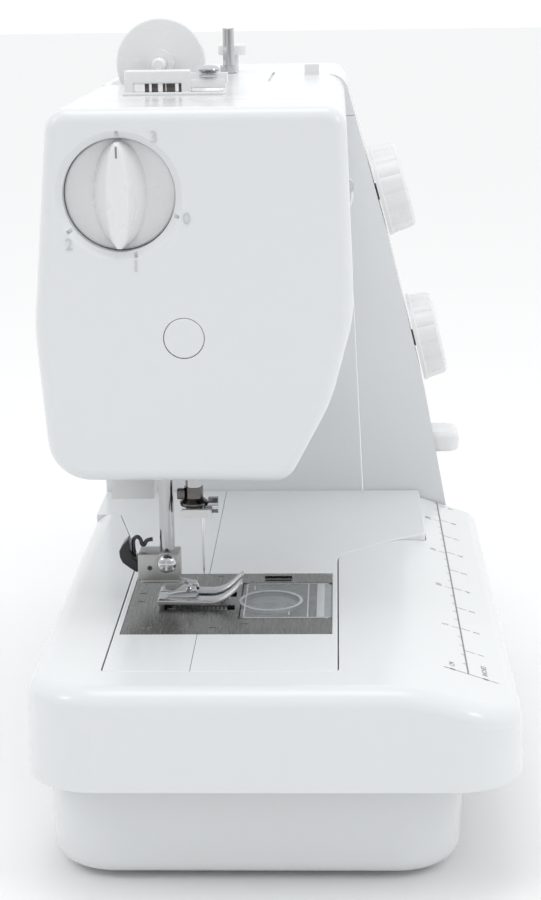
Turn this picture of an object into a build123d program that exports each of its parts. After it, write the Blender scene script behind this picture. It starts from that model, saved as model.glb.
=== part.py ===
from build123d import *
import math
import os

os.makedirs("parts", exist_ok=True)

# Free-arm sewing machine, in millimetres. X runs along the machine: the sewing end is at -X and the
# handwheel at +X. The operator sits on the -Y side. Z = 0 is the surface under the rubber feet.

# Overall sizes
machine_length = 407.0
machine_depth = 178.0
base_height = 42.7
bed_height = 80.0
body_height = 275.0

# Fits and gaps
wall = 2.5
seam_gap = 0.4
clearance = 0.3
running_fit = 0.05

# Casing places
handwheel_width = 24.0
handwheel_gap = 1.2
pillar_width = 112.5
head_setback = 66.5
head_width = 77.0
face_cover_depth = 42.0
head_bottom = 137.0
arm_bottom = 185.0
top_seam = 256.5
casing_rear = 87.6
casing_front = -29.6

# Base and bed
foot_height = 2.7
foot_radius = 9.0
base_setback = 16.0
base_front = -69.5
base_rear = 84.5
base_corner = 26.0
deck_height = 26.0
bed_setback = 22.0
bed_front = -22.8
bed_rear = 61.5
bed_seam_y = 30.0
arm_underside = 43.5
table_corner = 26.0
table_edge = 8.0
table_leg_setback = 40.8
table_front_seam = -61.5
table_rear_seam = 76.4
table_slope = 18.5
table_slope_start = -38.0
table_slope_radius = 82.0

# Sewing line
needle_setback = 101.5
needle_y = 29.7
needle_bar_y = 33.0
needle_bar_radius = 3.25
needle_stroke = 26.0
needle_radius = 0.4
needle_tip = 91.0
presser_bar_y = 44.0
presser_bar_radius = 3.0
presser_lift = 7.0
sole_gap = 1.5
plate_thickness = 1.2

# Rotary hook and bobbin
hook_setback = 102.0
hook_radius = 23.2
hook_bottom = 61.5
hook_top = 74.5
hook_wall = 2.0
bobbin_radius = 10.25
bobbin_height = 11.4
cover_thickness = 2.0

# Drive
shaft_y = 33.0
shaft_z = 222.0
shaft_radius = 5.0
crank_radius = needle_stroke / 2
crank_disc_radius = 20.0
lower_shaft_z = 54.0
lower_shaft_radius = 4.0
hook_gear_radius = 3.5
shaft_gear_radius = 2 * hook_gear_radius
timing_radius = 12.0
drive_pulley_radius = 28.0
motor_pulley_radius = 7.0
belt_thickness = 2.0
timing_belt_width = 8.0
drive_belt_width = 6.0
motor_y = 44.5
motor_z = 92.0
motor_radius = 26.0
motor_length = 58.0
handwheel_radius = 42.0

# Controls
upper_dial_z = 219.0
upper_dial_radius = 21.5
upper_dial_height = 14.0
lower_dial_z = 149.0
lower_dial_radius = 21.0
lower_dial_height = 12.5
dial_shaft_radius = 4.0
dial_setback = 88.3
lever_z = 100.0
pressure_dial_y = 55.0
pressure_dial_z = 244.0
pressure_recess_radius = 20.5
pressure_recess_depth = 10.0
cap_y = 32.6
cap_z = 192.0
cap_radius = 7.4
tension_setback = 15.0
tension_z = 233.0
tension_radius = 9.0

# Spool and winder
spool_setback = 154.3
spool_y = 52.5
spool_z = 282.7
spool_cap_radius = 19.4
spool_pin_radius = 3.0
spool_length = 88.0
spindle_setback = 92.3
spindle_y = 26.5
spindle_radius = 2.6
spindle_top = 295.4

# Places that follow from the sizes above
left_end = -machine_length / 2
right_end = machine_length / 2
table_edge_y = machine_depth / 2
body_right = right_end - handwheel_width - handwheel_gap
pillar_left = body_right - pillar_width
head_left = left_end + head_setback
head_right = head_left + head_width
face_seam = head_left + face_cover_depth
base_left = left_end + base_setback
needle_x = left_end + needle_setback
hook_x = left_end + hook_setback
hook_y = bed_front + wall + 2 * clearance + hook_radius
lower_shaft_y = hook_y + hook_gear_radius + shaft_gear_radius + clearance
table_leg_end = pillar_left - table_leg_setback
dial_x = body_right - dial_setback
tension_x = head_right + tension_setback
spool_x = body_right - spool_setback
spindle_x = body_right - spindle_setback
bed_left = left_end + bed_setback
plate_bottom = bed_height - plate_thickness
skirt_bottom = base_height + clearance
clamp_bottom = needle_tip + 24.5
bar_top = shaft_z + 40.0
block_z = shaft_z - 38.0
case_radius = hook_radius - hook_wall - clearance


def block(x_range, y_range, z_range, mode=Mode.ADD):
    """A box between two limits on each axis."""
    low = (x_range[0], y_range[0], z_range[0])
    size = (x_range[1] - x_range[0], y_range[1] - y_range[0], z_range[1] - z_range[0])
    with Locations(low):
        Box(*size, align=(Align.MIN, Align.MIN, Align.MIN), mode=mode)


def rod_x(x_range, y, z, radius, mode=Mode.ADD):
    """A round bar along X."""
    with BuildSketch(Plane.YZ.offset(x_range[0])) as section:
        with Locations((y, z)):
            Circle(radius)
    extrude(section.sketch, amount=x_range[1] - x_range[0], mode=mode)


def rod_y(x, y_range, z, radius, mode=Mode.ADD):
    """A round bar along Y."""
    with BuildSketch(Plane.XZ.offset(-y_range[1])) as section:
        with Locations((x, z)):
            Circle(radius)
    extrude(section.sketch, amount=y_range[1] - y_range[0], mode=mode)


def rod_z(x, y, z_range, radius, mode=Mode.ADD):
    """An upright round bar."""
    with BuildSketch(Plane.XY.offset(z_range[0])) as section:
        with Locations((x, y)):
            Circle(radius)
    extrude(section.sketch, amount=z_range[1] - z_range[0], mode=mode)


def finish(builder, name):
    """Label a finished piece and write its STEP file."""
    builder.part.label = name
    export_step(builder.part, f"parts/{name}.step")


def rounded_outline(plane, corners, inset):
    """A closed outline with a radius at each corner, moved inwards by the inset."""
    with BuildSketch(plane) as sketch:
        with BuildLine():
            FilletPolyline(*[c[:2] for c in corners], radius=[c[2] for c in corners], close=True)
        make_face()
        if inset:
            offset(amount=-inset)
    return sketch.sketch


# Cross-sections of the casing, as (y, z, corner radius)
top_front = (casing_front + 2.8, body_height, 8.0)
top_rear = (casing_rear - 7.1, body_height, 8.0)
rear_waist = (casing_rear, body_height - 80.0, 80.0)

head_corners = [
    top_front,
    top_rear,
    rear_waist,
    (casing_rear - 4.1, head_bottom + 1.0, 16.0),
    (casing_front + 24.8, head_bottom, 10.0),
    (casing_front + 8.8, head_bottom + 30.0, 60.0),
    (casing_front, head_bottom + 63.0, 60.0),
]
arm_corners = [
    top_front,
    top_rear,
    rear_waist,
    (casing_rear, arm_bottom, 5.0),
    (casing_front + 2.8, arm_bottom, 8.0),
    (casing_front, arm_bottom + 15.0, 12.0),
]
pillar_corners = [
    top_front,
    top_rear,
    rear_waist,
    (casing_rear, skirt_bottom, 0.0),
    (casing_front - 45.7, skirt_bottom, 0.0),
    (casing_front - 44.9, 72.0, 30.0),
    (casing_front - 33.9, 131.7, 200.0),
    (casing_front - 17.6, 199.8, 200.0),
]


def casing_block(inset):
    """Head, arm and pillar as one volume, moved inwards by the inset."""
    with BuildPart() as volume:
        for corners, x0, x1 in (
            (head_corners, head_left, head_right),
            (arm_corners, head_left + face_cover_depth, body_right - wall),
            (pillar_corners, pillar_left, body_right),
        ):
            outline = rounded_outline(Plane.YZ.offset(x0 + inset), corners, inset)
            extrude(outline, amount=x1 - x0 - 2 * inset)
        if inset:
            block((pillar_left + inset, body_right - inset),
                  (casing_front - 44.0 + inset, casing_rear - inset), (skirt_bottom - 1, skirt_bottom + 8))
        else:
            fillet(volume.faces().sort_by(Axis.X)[0].edges(), 5)
            fillet(volume.faces().filter_by(Axis.X).sort_by(Axis.X)[-1].edges().filter_by(
                lambda e: e.center().Z > skirt_bottom + 1), 8)
    return volume.part


def seam_y(z):
    """The slanted seam on the pillar between the rear cover and the front panel."""
    return -30.5 - (181.0 - z) * 4.5 / 103.0


outer_casing = casing_block(0)
inner_casing = casing_block(wall)

with BuildPart() as casing_shell:
    add(outer_casing)
    add(inner_casing, mode=Mode.SUBTRACT)

far = machine_length
arm_seam_y = casing_front + 20.0


def front_zone(gap):
    """The space in front of the seam: the front panel fills it, and the rear cover stays out."""
    with BuildPart() as zone:
        with BuildSketch(Plane.YZ.offset(pillar_left - 5)) as pillar_zone:
            with BuildLine():
                Polyline((-far, 0), (seam_y(0) - gap, 0), (seam_y(top_seam) - gap, top_seam - gap),
                         (-far, top_seam - gap), close=True)
            make_face()
        extrude(pillar_zone.sketch, amount=pillar_width + 20)
        block((face_seam + gap, body_right - 2 * wall), (-far, arm_seam_y - gap), (arm_bottom - 1, top_seam - gap))
    return zone.part


# ---------------------------------------------------------------- base

base_centre = ((base_left + body_right) / 2, (base_front + base_rear) / 2)
base_size = (body_right - base_left, base_rear - base_front)
riser_x = -32.0
floor_z = foot_height + wall
deck_margin = wall + 0.4
deck_y = (base_front + deck_margin, base_rear - deck_margin)
foot_places = [(x, y) for x in (base_left + 32, body_right - 30) for y in (base_front + 26, base_rear - 26)]


def base_plan(z, inset):
    """The base's rounded rectangle at a height."""
    with BuildSketch(Plane.XY.offset(z)) as plan:
        with Locations(base_centre):
            RectangleRounded(base_size[0] - 2 * inset, base_size[1] - 2 * inset, base_corner - inset)
    return plan.sketch


with BuildPart() as base_tray:
    extrude(base_plan(base_height, 0), amount=-(base_height - foot_height), taper=3)
    fillet(base_tray.faces().sort_by(Axis.Z)[0].edges(), 6)
    extrude(base_plan(base_height, wall), amount=-(base_height - floor_z), taper=3, mode=Mode.SUBTRACT)
    block((base_left + base_corner, riser_x), deck_y, (deck_height - wall, deck_height))
    block((base_left + deck_margin, base_left + base_corner), (base_front + base_corner, base_rear - base_corner),
          (deck_height - wall, deck_height))
    block((riser_x - wall, riser_x), deck_y, (deck_height - wall, base_height))
    for x, y in foot_places:
        rod_z(x, y, (foot_height, floor_z + 4), foot_radius + 2)
finish(base_tray, "base_tray")

with BuildPart() as rubber_feet:
    for x, y in foot_places:
        rod_z(x, y, (0, foot_height), foot_radius)
    chamfer(rubber_feet.edges().filter_by(GeomType.CIRCLE).group_by(Axis.Z)[0], 0.8)
finish(rubber_feet, "rubber_feet")

# ---------------------------------------------------------------- casing covers

opening_x = (needle_x - 24, needle_x + 16)
opening_y = (-6.0, presser_bar_y + 18)
lifter_slot_x = (head_right - 32, head_right + 3)
lifter_slot_y = (49.0, 69.0)
lifter_slot_z = (head_bottom - 3, head_bottom + 39)
dial_recess_x = head_left + pressure_recess_depth
recess_bevel = 2.6
notch_angles = (90.0, 200.0, 255.0, 325.0)


def bottom_openings():
    """The opening under the head for the bars, and the notch that the presser lifter swings in."""
    block(opening_x, opening_y, (head_bottom - 3, head_bottom + 6), mode=Mode.SUBTRACT)
    block(lifter_slot_x, lifter_slot_y, lifter_slot_z, mode=Mode.SUBTRACT)


with BuildPart() as face_cover:
    add(casing_shell.part)
    block((face_seam - seam_gap / 2, far), (-far, far), (0, far), mode=Mode.SUBTRACT)
    rod_x((head_left + 1, dial_recess_x + wall), pressure_dial_y, pressure_dial_z,
          pressure_recess_radius + wall)
    rod_x((head_left - 1, dial_recess_x), pressure_dial_y, pressure_dial_z,
          pressure_recess_radius, mode=Mode.SUBTRACT)
    with BuildSketch(Plane.YZ.offset(head_left + recess_bevel)) as bevel:
        with Locations((pressure_dial_y, pressure_dial_z)):
            Circle(pressure_recess_radius)
    extrude(bevel.sketch, amount=-recess_bevel - 1, taper=-45, mode=Mode.SUBTRACT)
    for angle in notch_angles:
        with BuildSketch(Plane.YZ.offset(head_left - 1)) as notch:
            with Locations((pressure_dial_y, pressure_dial_z)):
                with PolarLocations(pressure_recess_radius + recess_bevel / 2, 1, start_angle=angle):
                    Rectangle(recess_bevel, 1.3)
        extrude(notch.sketch, amount=recess_bevel + 0.6, mode=Mode.SUBTRACT)
    rod_x((head_left, head_left + 20), pressure_dial_y, pressure_dial_z, dial_shaft_radius + clearance,
          mode=Mode.SUBTRACT)
    rod_x((head_left - 1, head_left + 2 * wall), cap_y, cap_z, cap_radius + seam_gap / 2, mode=Mode.SUBTRACT)
    bottom_openings()
finish(face_cover, "face_cover")

with BuildPart() as face_cap:
    rod_x((head_left - 0.2, head_left + wall), cap_y, cap_z, cap_radius)
    fillet(face_cap.edges().filter_by(GeomType.CIRCLE).sort_by(Axis.X)[0], 0.8)
    rod_x((head_left + wall, head_left + 2 * wall), cap_y, cap_z, cap_radius - 1)
finish(face_cap, "face_cap")

trough_x = (spool_x - 19, spool_x + spool_length)
trough_radius = spool_cap_radius + 2.6
groove_x = (spool_x - 10, spindle_x + 2)
groove_y = 5.5
spindle_hole = spindle_radius + 1.6

with BuildPart() as top_cover:
    add(casing_shell.part)
    block((-far, face_seam + seam_gap / 2), (-far, far), (0, far), mode=Mode.SUBTRACT)
    block((-far, far), (-far, far), (0, top_seam), mode=Mode.SUBTRACT)
    rod_x((trough_x[0] - wall, trough_x[1] + wall), spool_y, spool_z, trough_radius + wall)
    block((-far, far), (-far, far), (body_height, body_height + 60), mode=Mode.SUBTRACT)
    rod_x(trough_x, spool_y, spool_z, trough_radius, mode=Mode.SUBTRACT)
    block(groove_x, (groove_y - 0.6, groove_y + 0.6), (body_height - 1, body_height + 1), mode=Mode.SUBTRACT)
    rod_z(spindle_x, spindle_y, (body_height - 10, body_height + 1), spindle_hole, mode=Mode.SUBTRACT)
finish(top_cover, "top_cover")

panel_line = [c[:2] for c in (top_front, pillar_corners[7], pillar_corners[6], pillar_corners[5])]


def panel_y(z):
    """The front panel's surface on the pillar at a height."""
    for (y1, z1), (y0, z0) in zip(panel_line, panel_line[1:]):
        if z >= z0:
            return y0 + (y1 - y0) * (z - z0) / (z1 - z0)
    return panel_line[-1][0]


def panel_plane(x, z, span):
    """A plane that lies on the sloped front panel, its normal pointing at the operator."""
    above = Vector(x, panel_y(z + span), z + span)
    below = Vector(x, panel_y(z - span), z - span)
    slope = (above - below).normalized()
    return Plane(origin=(above + below) / 2, x_dir=(1, 0, 0), z_dir=Vector(1, 0, 0).cross(slope))


upper_plane = panel_plane(dial_x, upper_dial_z, upper_dial_radius)
lower_plane = panel_plane(dial_x, lower_dial_z, lower_dial_radius)

takeup_x = (head_right - 17.5, head_right - 14.5)
takeup_y = 6.0
takeup_slot_z = (200.0, 250.0)
tension_width = 6.0
tension_y = casing_front + 0.6 - 1.0 + tension_radius
lever_width = 24.0
lever_thickness = 9.5

with BuildPart() as front_panel:
    add(casing_shell.part)
    add(front_zone(seam_gap / 2), mode=Mode.INTERSECT)
    for plane in (upper_plane, lower_plane):
        with BuildSketch(plane) as hole:
            Circle(dial_shaft_radius + clearance)
        extrude(hole.sketch, amount=10, both=True, mode=Mode.SUBTRACT)
    block((takeup_x[0] - 2, takeup_x[1] + 2), (casing_front - 5, casing_front + 8), takeup_slot_z,
          mode=Mode.SUBTRACT)
    block((tension_x - tension_width / 2 - 0.8, tension_x + tension_width / 2 + 0.8),
          (casing_front - 5, casing_front + 8),
          (tension_z - tension_radius, tension_z + tension_radius), mode=Mode.SUBTRACT)
    block((dial_x - lever_width / 2 - 1, dial_x + lever_width / 2 + 1), (panel_y(lever_z) - 5, panel_y(lever_z) + 8),
          (lever_z - lever_thickness / 2 - 5, lever_z + lever_thickness / 2 + 1), mode=Mode.SUBTRACT)
finish(front_panel, "front_panel")

inlet_y = (48.0, 68.0)
inlet_z = (50.0, 66.0)
switch_y = (54.0, 70.0)
switch_z = (82.0, 108.0)
switch_centre = (body_right - 3.5, sum(switch_z) / 2)
switch_pin_y = (switch_y[0] - 1.6, switch_y[1] + 1.6)
switch_pin_radius = 1.2
bay_end_y = (bed_front + 2.0, bed_rear - 2.0)

with BuildPart() as rear_cover:
    add(casing_shell.part)
    add(front_zone(-seam_gap / 2), mode=Mode.SUBTRACT)
    block((-far, face_seam + seam_gap / 2), (-far, far), (0, far), mode=Mode.SUBTRACT)
    block((-far, far), (-far, far), (top_seam - seam_gap / 2, far), mode=Mode.SUBTRACT)
    bottom_openings()
    rod_x((body_right - 2 * wall, body_right + 1), shaft_y, shaft_z, shaft_radius + 3, mode=Mode.SUBTRACT)
    for hole_y, hole_z in ((inlet_y, inlet_z), (switch_y, switch_z)):
        block((body_right - 2 * wall, body_right + 1), (hole_y[0] - clearance, hole_y[1] + clearance),
              (hole_z[0] - clearance, hole_z[1] + clearance), mode=Mode.SUBTRACT)
    rod_y(switch_centre[0], (switch_pin_y[0] - clearance, switch_pin_y[1] + clearance), switch_centre[1],
          switch_pin_radius + running_fit, mode=Mode.SUBTRACT)
    block((pillar_left - 1, pillar_left + 2 * wall), bay_end_y, (skirt_bottom - 1, bed_height - 2 * wall),
          mode=Mode.SUBTRACT)
finish(rear_cover, "rear_cover")

# ---------------------------------------------------------------- bed and extension table

frame_floor = arm_underside + 2.0
bed_corners = [
    (bed_left, bed_rear, 2.0),
    (pillar_left - 107.8, bed_rear, 40.0),
    (table_leg_end, table_rear_seam, 0.5),
    (table_leg_end, casing_rear, 0.5),
    (pillar_left - seam_gap, casing_rear, 0.0),
    (pillar_left - seam_gap, table_front_seam, 0.0),
    (pillar_left - 73.8, table_front_seam, 5.0),
    (pillar_left - 81.8, -49.0, 28.0),
    (pillar_left - 106.8, bed_front, 15.0),
    (bed_left, bed_front, 2.0),
]
plate_x = (needle_x - 39.5, needle_x + 35.6)
plate_y = (bed_front + 2.3, bed_rear - 2.5)
cover_x = (hook_x - 22.5, hook_x + 22.5)
cover_y = (plate_y[0], hook_y + 11.7)
release_x = (needle_x + 25.6, needle_x + 32.5)
release_y = (-4.2, 7.0)


def bed_part(y_range):
    """One half of the bed's upper shell, with its share of the needle plate's seat."""
    with BuildPart() as half:
        extrude(rounded_outline(Plane.XY.offset(frame_floor), bed_corners, 0), amount=bed_height - frame_floor)
        fillet(half.faces().sort_by(Axis.Z)[-1].edges(), 0.6)
        extrude(rounded_outline(Plane.XY.offset(frame_floor), bed_corners, wall),
                amount=bed_height - wall - frame_floor, mode=Mode.SUBTRACT)
        block((pillar_left - 10, pillar_left), bay_end_y, (frame_floor, bed_height - 2 * wall), mode=Mode.SUBTRACT)
        block((plate_x[0] - clearance, plate_x[1] + clearance), (plate_y[0] - clearance, plate_y[1] + clearance),
              (plate_bottom, bed_height + 1), mode=Mode.SUBTRACT)
        block((plate_x[0] + 3.5, plate_x[1] - 3.5), (plate_y[0] + 3.5, plate_y[1] - 3.5),
              (bed_height - 2 * wall, bed_height), mode=Mode.SUBTRACT)
        block((cover_x[0] - clearance, cover_x[1] + clearance), (cover_y[0] - clearance, cover_y[1]),
              (bed_height - cover_thickness - 0.1, bed_height), mode=Mode.SUBTRACT)
        block((-far, far), y_range, (0, far), mode=Mode.SUBTRACT)
    return half.part


with BuildPart() as bed_cover_rear:
    add(bed_part((-far, bed_seam_y + seam_gap / 4)))
finish(bed_cover_rear, "bed_cover_rear")

with BuildPart() as bed_cover_front:
    add(bed_part((bed_seam_y - seam_gap / 4, far)))
finish(bed_cover_front, "bed_cover_front")

with BuildPart() as arm_bottom_cover:
    extrude(rounded_outline(Plane.XY.offset(arm_underside), bed_corners, 0), amount=frame_floor - arm_underside)
finish(arm_bottom_cover, "arm_bottom_cover")


def table_block(inset):
    """The extension table's outer volume: a tapered block whose front part slopes down to the operator."""
    floor = skirt_bottom - (1 if inset else 0)
    corners = [(left_end + inset, -table_edge_y + inset, table_corner - inset),
               (pillar_left - seam_gap - inset, -table_edge_y + inset, 0.0),
               (pillar_left - seam_gap - inset, table_edge_y - inset, 0.0),
               (left_end + inset, table_edge_y - inset, table_corner - inset)]
    angle = math.radians(table_slope)
    top = bed_height - inset
    reach = table_slope_radius * math.sin(angle)
    drop = table_slope_radius * (1 - math.cos(angle))
    half_reach = table_slope_radius * math.sin(angle / 2)
    half_drop = table_slope_radius * (1 - math.cos(angle / 2))
    run = table_edge_y
    with BuildPart() as volume:
        extrude(rounded_outline(Plane.XY.offset(floor), corners, 0), amount=top - floor, taper=1)
        with BuildSketch(Plane.YZ.offset(left_end - 1)) as slope:
            with BuildLine():
                curve = ThreePointArc((table_slope_start, top), (table_slope_start - half_reach, top - half_drop),
                                      (table_slope_start - reach, top - drop))
                Polyline(curve @ 1, (table_slope_start - reach - run, top - drop - run * math.tan(angle)),
                         (table_slope_start - reach - run, top + run), (table_slope_start, top + run), curve @ 0)
            make_face()
        extrude(slope.sketch, amount=machine_length, mode=Mode.SUBTRACT)
        if not inset:
            rim = volume.edges().filter_by(lambda e: e.center().Z > bed_height - 18 and e.center().X < pillar_left - 5)
            rim = rim.filter_by(lambda e: abs(e.center().Y) > table_edge_y - 12 or e.center().X < left_end + 12)
            rim = rim.filter_by(lambda e: e.bounding_box().size.Z < 20)
            fillet(rim, table_edge)
    return volume.part


def bay_cut(gap):
    """What the extension table leaves free: the bed, with a gap round it, and the space behind its rear leg."""
    with BuildPart() as cut:
        extrude(rounded_outline(Plane.XY.offset(skirt_bottom - 2), bed_corners, -gap), amount=bed_height)
        block((table_leg_end - gap, pillar_left + 5), (0, far), (skirt_bottom - 2, far))
        block((pillar_left - seam_gap - gap, pillar_left + 5), (-far, far), (skirt_bottom - 2, far))
    return cut.part


table_outer = table_block(0)
table_inner = table_block(wall)
table_bay = bay_cut(seam_gap)
table_rib = bay_cut(seam_gap + wall)

with BuildPart() as table_hollow:
    add(table_inner)
    add(table_rib, mode=Mode.SUBTRACT)

with BuildPart() as extension_table:
    add(table_outer)
    add(table_bay, mode=Mode.SUBTRACT)
    add(table_hollow.part, mode=Mode.SUBTRACT)
finish(extension_table, "extension_table")

# ---------------------------------------------------------------- frame

web_y = (71.0, 76.0)
web_left = needle_x - 18.0
lug_x = (needle_x - 10, needle_x + 5.4)
lug_z = ((head_bottom + 5, head_bottom + 13), (shaft_z - 8, shaft_z))
wall_x = ((needle_x + 18, needle_x + 23), (pillar_left - 25.8, pillar_left - 20.8), (body_right - 14.5, body_right - 9.5))
wall_z = (shaft_z - 26, shaft_z + 26)
bush_radius = shaft_radius + 3
lifter_pivot = (head_right - 16, head_bottom + 13)
lifter_y = (lifter_slot_y[0] + 1.5, lifter_slot_y[1] - 1.5)
frame_top = frame_floor + 3
pillar_web_x = pillar_left + 8
lamp_x = needle_x - 19.0
lamp_y = 12.0
lamp_z = block_z - 2

with BuildPart() as arm_frame:
    block((web_left, wall_x[2][1]), web_y, wall_z)
    block((web_left, head_right - 5), web_y, (lug_z[0][1] - 3, wall_z[1]))
    block((pillar_web_x, wall_x[2][1]), web_y, (frame_top, wall_z[1]))
    block(wall_x[0], (takeup_y - 8, web_y[1]), wall_z)
    for x_range in wall_x[1:]:
        block(x_range, (shaft_y - 18, web_y[1]), wall_z)
    for z_range in lug_z:
        block(lug_x, (needle_bar_y - 6, web_y[0] + 0.5), z_range)
        rod_z(needle_x, needle_bar_y, z_range, needle_bar_radius + running_fit, mode=Mode.SUBTRACT)
        rod_z(needle_x, presser_bar_y, z_range, presser_bar_radius + running_fit, mode=Mode.SUBTRACT)
    for x_range in wall_x:
        rod_x(x_range, shaft_y, shaft_z, bush_radius, mode=Mode.SUBTRACT)
    rod_x((wall_x[0][1], takeup_x[1] + 3), takeup_y, shaft_z, 3)
    rod_y(lifter_pivot[0], (lifter_y[0], web_y[0]), lifter_pivot[1], 2.5)
    block((tension_x - 7, tension_x - 5), (tension_y - 3, web_y[1]), (tension_z - 5, tension_z + 8))
    rod_x((tension_x - 8, tension_x - 4), tension_y, tension_z, 2 + running_fit, mode=Mode.SUBTRACT)
    block((lamp_x - 7, web_left + 6), (lamp_y - 8, web_y[1]), (lamp_z, lamp_z + 3))
    for x, z, back in ((head_right + 10, arm_bottom + 15, 1.0), (pillar_left - 10, arm_bottom + 15, 1.0),
                       (body_right - 25, 100.0, 0.0), (pillar_left + 20, 60.0, 0.0)):
        rod_y(x, (web_y[1], casing_rear - wall - clearance - back), z, 4)
    for x_range in (wall_x[0], wall_x[2]):
        rod_z(sum(x_range) / 2, shaft_y, (wall_z[1], body_height - wall - clearance), 2.4)
finish(arm_frame, "arm_frame")

bearing_x = ((hook_x - 31, hook_x - 25), (hook_x + 27, hook_x + 33), (pillar_left - 9.8, pillar_left - 3.8), (pillar_left + 66, pillar_left + 71))
post_places = [(x, y) for x in (pillar_left + 9, pillar_left + 60) for y in (-26.0, 60.0)]
gear_width = 9.0
lever_pivot_y = panel_y(lever_z) + 9
lever_post_y = (lever_pivot_y - 4, lever_pivot_y + 6)
lever_pin_radius = 2.0

with BuildPart() as bed_frame:
    block((bed_left + wall + clearance, pillar_left + 4), (bed_front + wall + clearance, bed_rear - wall - clearance),
          (frame_floor, frame_top))
    block((pillar_left + 4, pillar_left + 74), (lever_post_y[0], web_y[1] + 3), (frame_floor, frame_top))
    for x_range in bearing_x:
        block(x_range, (lower_shaft_y - 8, lower_shaft_y + 8), (frame_top, lower_shaft_z + 7))
        rod_x(x_range, lower_shaft_y, lower_shaft_z, lower_shaft_radius + 2.5, mode=Mode.SUBTRACT)
    block((hook_x - gear_width / 2 - 1.5, hook_x + gear_width / 2 + 1.5),
          (lower_shaft_y - shaft_gear_radius - 1.2, lower_shaft_y + shaft_gear_radius + 1.2),
          (frame_floor - 1, frame_top + 1), mode=Mode.SUBTRACT)
    rod_z(hook_x, hook_y, (frame_floor, frame_top), 2.5 + running_fit, mode=Mode.SUBTRACT)
    for x, y in post_places:
        rod_z(x, y, (floor_z, frame_floor), 6)
    for x in (dial_x - lever_width / 2 - 8, dial_x + lever_width / 2 + 3):
        block((x, x + 5), lever_post_y, (frame_top, lever_z + 6))
    rod_x((dial_x - lever_width, dial_x + lever_width), lever_pivot_y, lever_z, lever_pin_radius + running_fit,
          mode=Mode.SUBTRACT)
    for x in (bed_left + 20, pillar_left - 95.8):
        block((x, x + 8), (presser_bar_y + 5, bed_rear - wall - clearance), (frame_top, bed_height - wall - clearance))
    for x in (bed_left + 20, needle_x + 40):
        block((x, x + 8), (bed_front + wall + clearance, bed_front + 9), (frame_top, bed_height - wall - clearance - 0.1))
finish(bed_frame, "bed_frame")

with BuildPart() as shaft_bushes:
    for x_range in wall_x:
        rod_x(x_range, shaft_y, shaft_z, bush_radius)
        rod_x(x_range, shaft_y, shaft_z, shaft_radius + running_fit, mode=Mode.SUBTRACT)
    for x_range in bearing_x:
        rod_x(x_range, lower_shaft_y, lower_shaft_z, lower_shaft_radius + 2.5)
        rod_x(x_range, lower_shaft_y, lower_shaft_z, lower_shaft_radius + running_fit, mode=Mode.SUBTRACT)
finish(shaft_bushes, "shaft_bushes")

# ---------------------------------------------------------------- needle plate, hook and bobbin

feed_rows = ((needle_x - 10.6, needle_x - 5.9), (needle_x + 5.9, needle_x + 10.6))
feed_y = (20.5, 42.0)
feed_travel = 2.5
slot_y = (cover_y[1] + 2.2, feed_y[1] + feed_travel + 0.6)
needle_hole = 7.0

with BuildPart() as needle_plate:
    block(plate_x, plate_y, (plate_bottom, bed_height))
    fillet(needle_plate.edges().filter_by(Axis.Z).group_by(Axis.X)[-1], 4)
    block((cover_x[0] - clearance, cover_x[1] + clearance), (plate_y[0] - 1, cover_y[1] + clearance),
          (plate_bottom, bed_height), mode=Mode.SUBTRACT)
    block(release_x, release_y, (plate_bottom, bed_height), mode=Mode.SUBTRACT)
    for row in feed_rows:
        block((row[0] - 0.6, row[1] + 0.6), slot_y, (plate_bottom, bed_height), mode=Mode.SUBTRACT)
    with BuildSketch(Plane.XY.offset(plate_bottom)) as hole:
        with Locations((needle_x, needle_y)):
            SlotOverall(needle_hole, 1.8)
    extrude(hole.sketch, amount=plate_thickness, mode=Mode.SUBTRACT)
    plate_screw_places = ((plate_x[0] + 8, plate_y[1] - 9), (plate_x[1] - 8, plate_y[1] - 9))
    for x, y in plate_screw_places:
        rod_z(x, y, (plate_bottom, bed_height), 2.2, mode=Mode.SUBTRACT)
finish(needle_plate, "needle_plate")

with BuildPart() as bobbin_cover:
    block(cover_x, cover_y, (bed_height - cover_thickness, bed_height))
    fillet(bobbin_cover.edges().filter_by(Axis.Z), 2.5)
    fillet(bobbin_cover.faces().sort_by(Axis.Z)[-1].edges(), 0.5)
finish(bobbin_cover, "bobbin_cover")

release_travel = 3.0

with BuildPart() as cover_release:
    block((release_x[0] + clearance, release_x[1] - 3 * clearance - release_travel),
          (release_y[0] + clearance, release_y[1] - clearance), (bed_height - wall - 2, bed_height + 0.3))
    fillet(cover_release.faces().sort_by(Axis.Z)[-1].edges(), 0.3)
    block((release_x[0] - 1, release_x[1] + 1), (release_y[0] - 1.5, release_y[1] + 1.5),
          (bed_height - wall - 2, bed_height - wall - clearance))
finish(cover_release, "cover_release")

hook_floor = hook_bottom + hook_wall
pocket_radius = bobbin_radius + 0.5

with BuildPart() as rotary_hook:
    rod_z(hook_x, hook_y, (hook_bottom, hook_top), hook_radius)
    rod_z(hook_x, hook_y, (hook_floor, hook_top), hook_radius - hook_wall, mode=Mode.SUBTRACT)
    rod_z(hook_x, hook_y, (frame_floor, hook_bottom), 2.5)
    rod_z(hook_x, hook_y, (frame_top + 1.5, hook_bottom - 3.5), hook_gear_radius)
    with Locations((hook_x, hook_y, 0)):
        with PolarLocations(hook_gear_radius, 7):
            Box(0.8, 0.8, 2 * (hook_bottom - 3.5), mode=Mode.SUBTRACT)
finish(rotary_hook, "rotary_hook")

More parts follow.
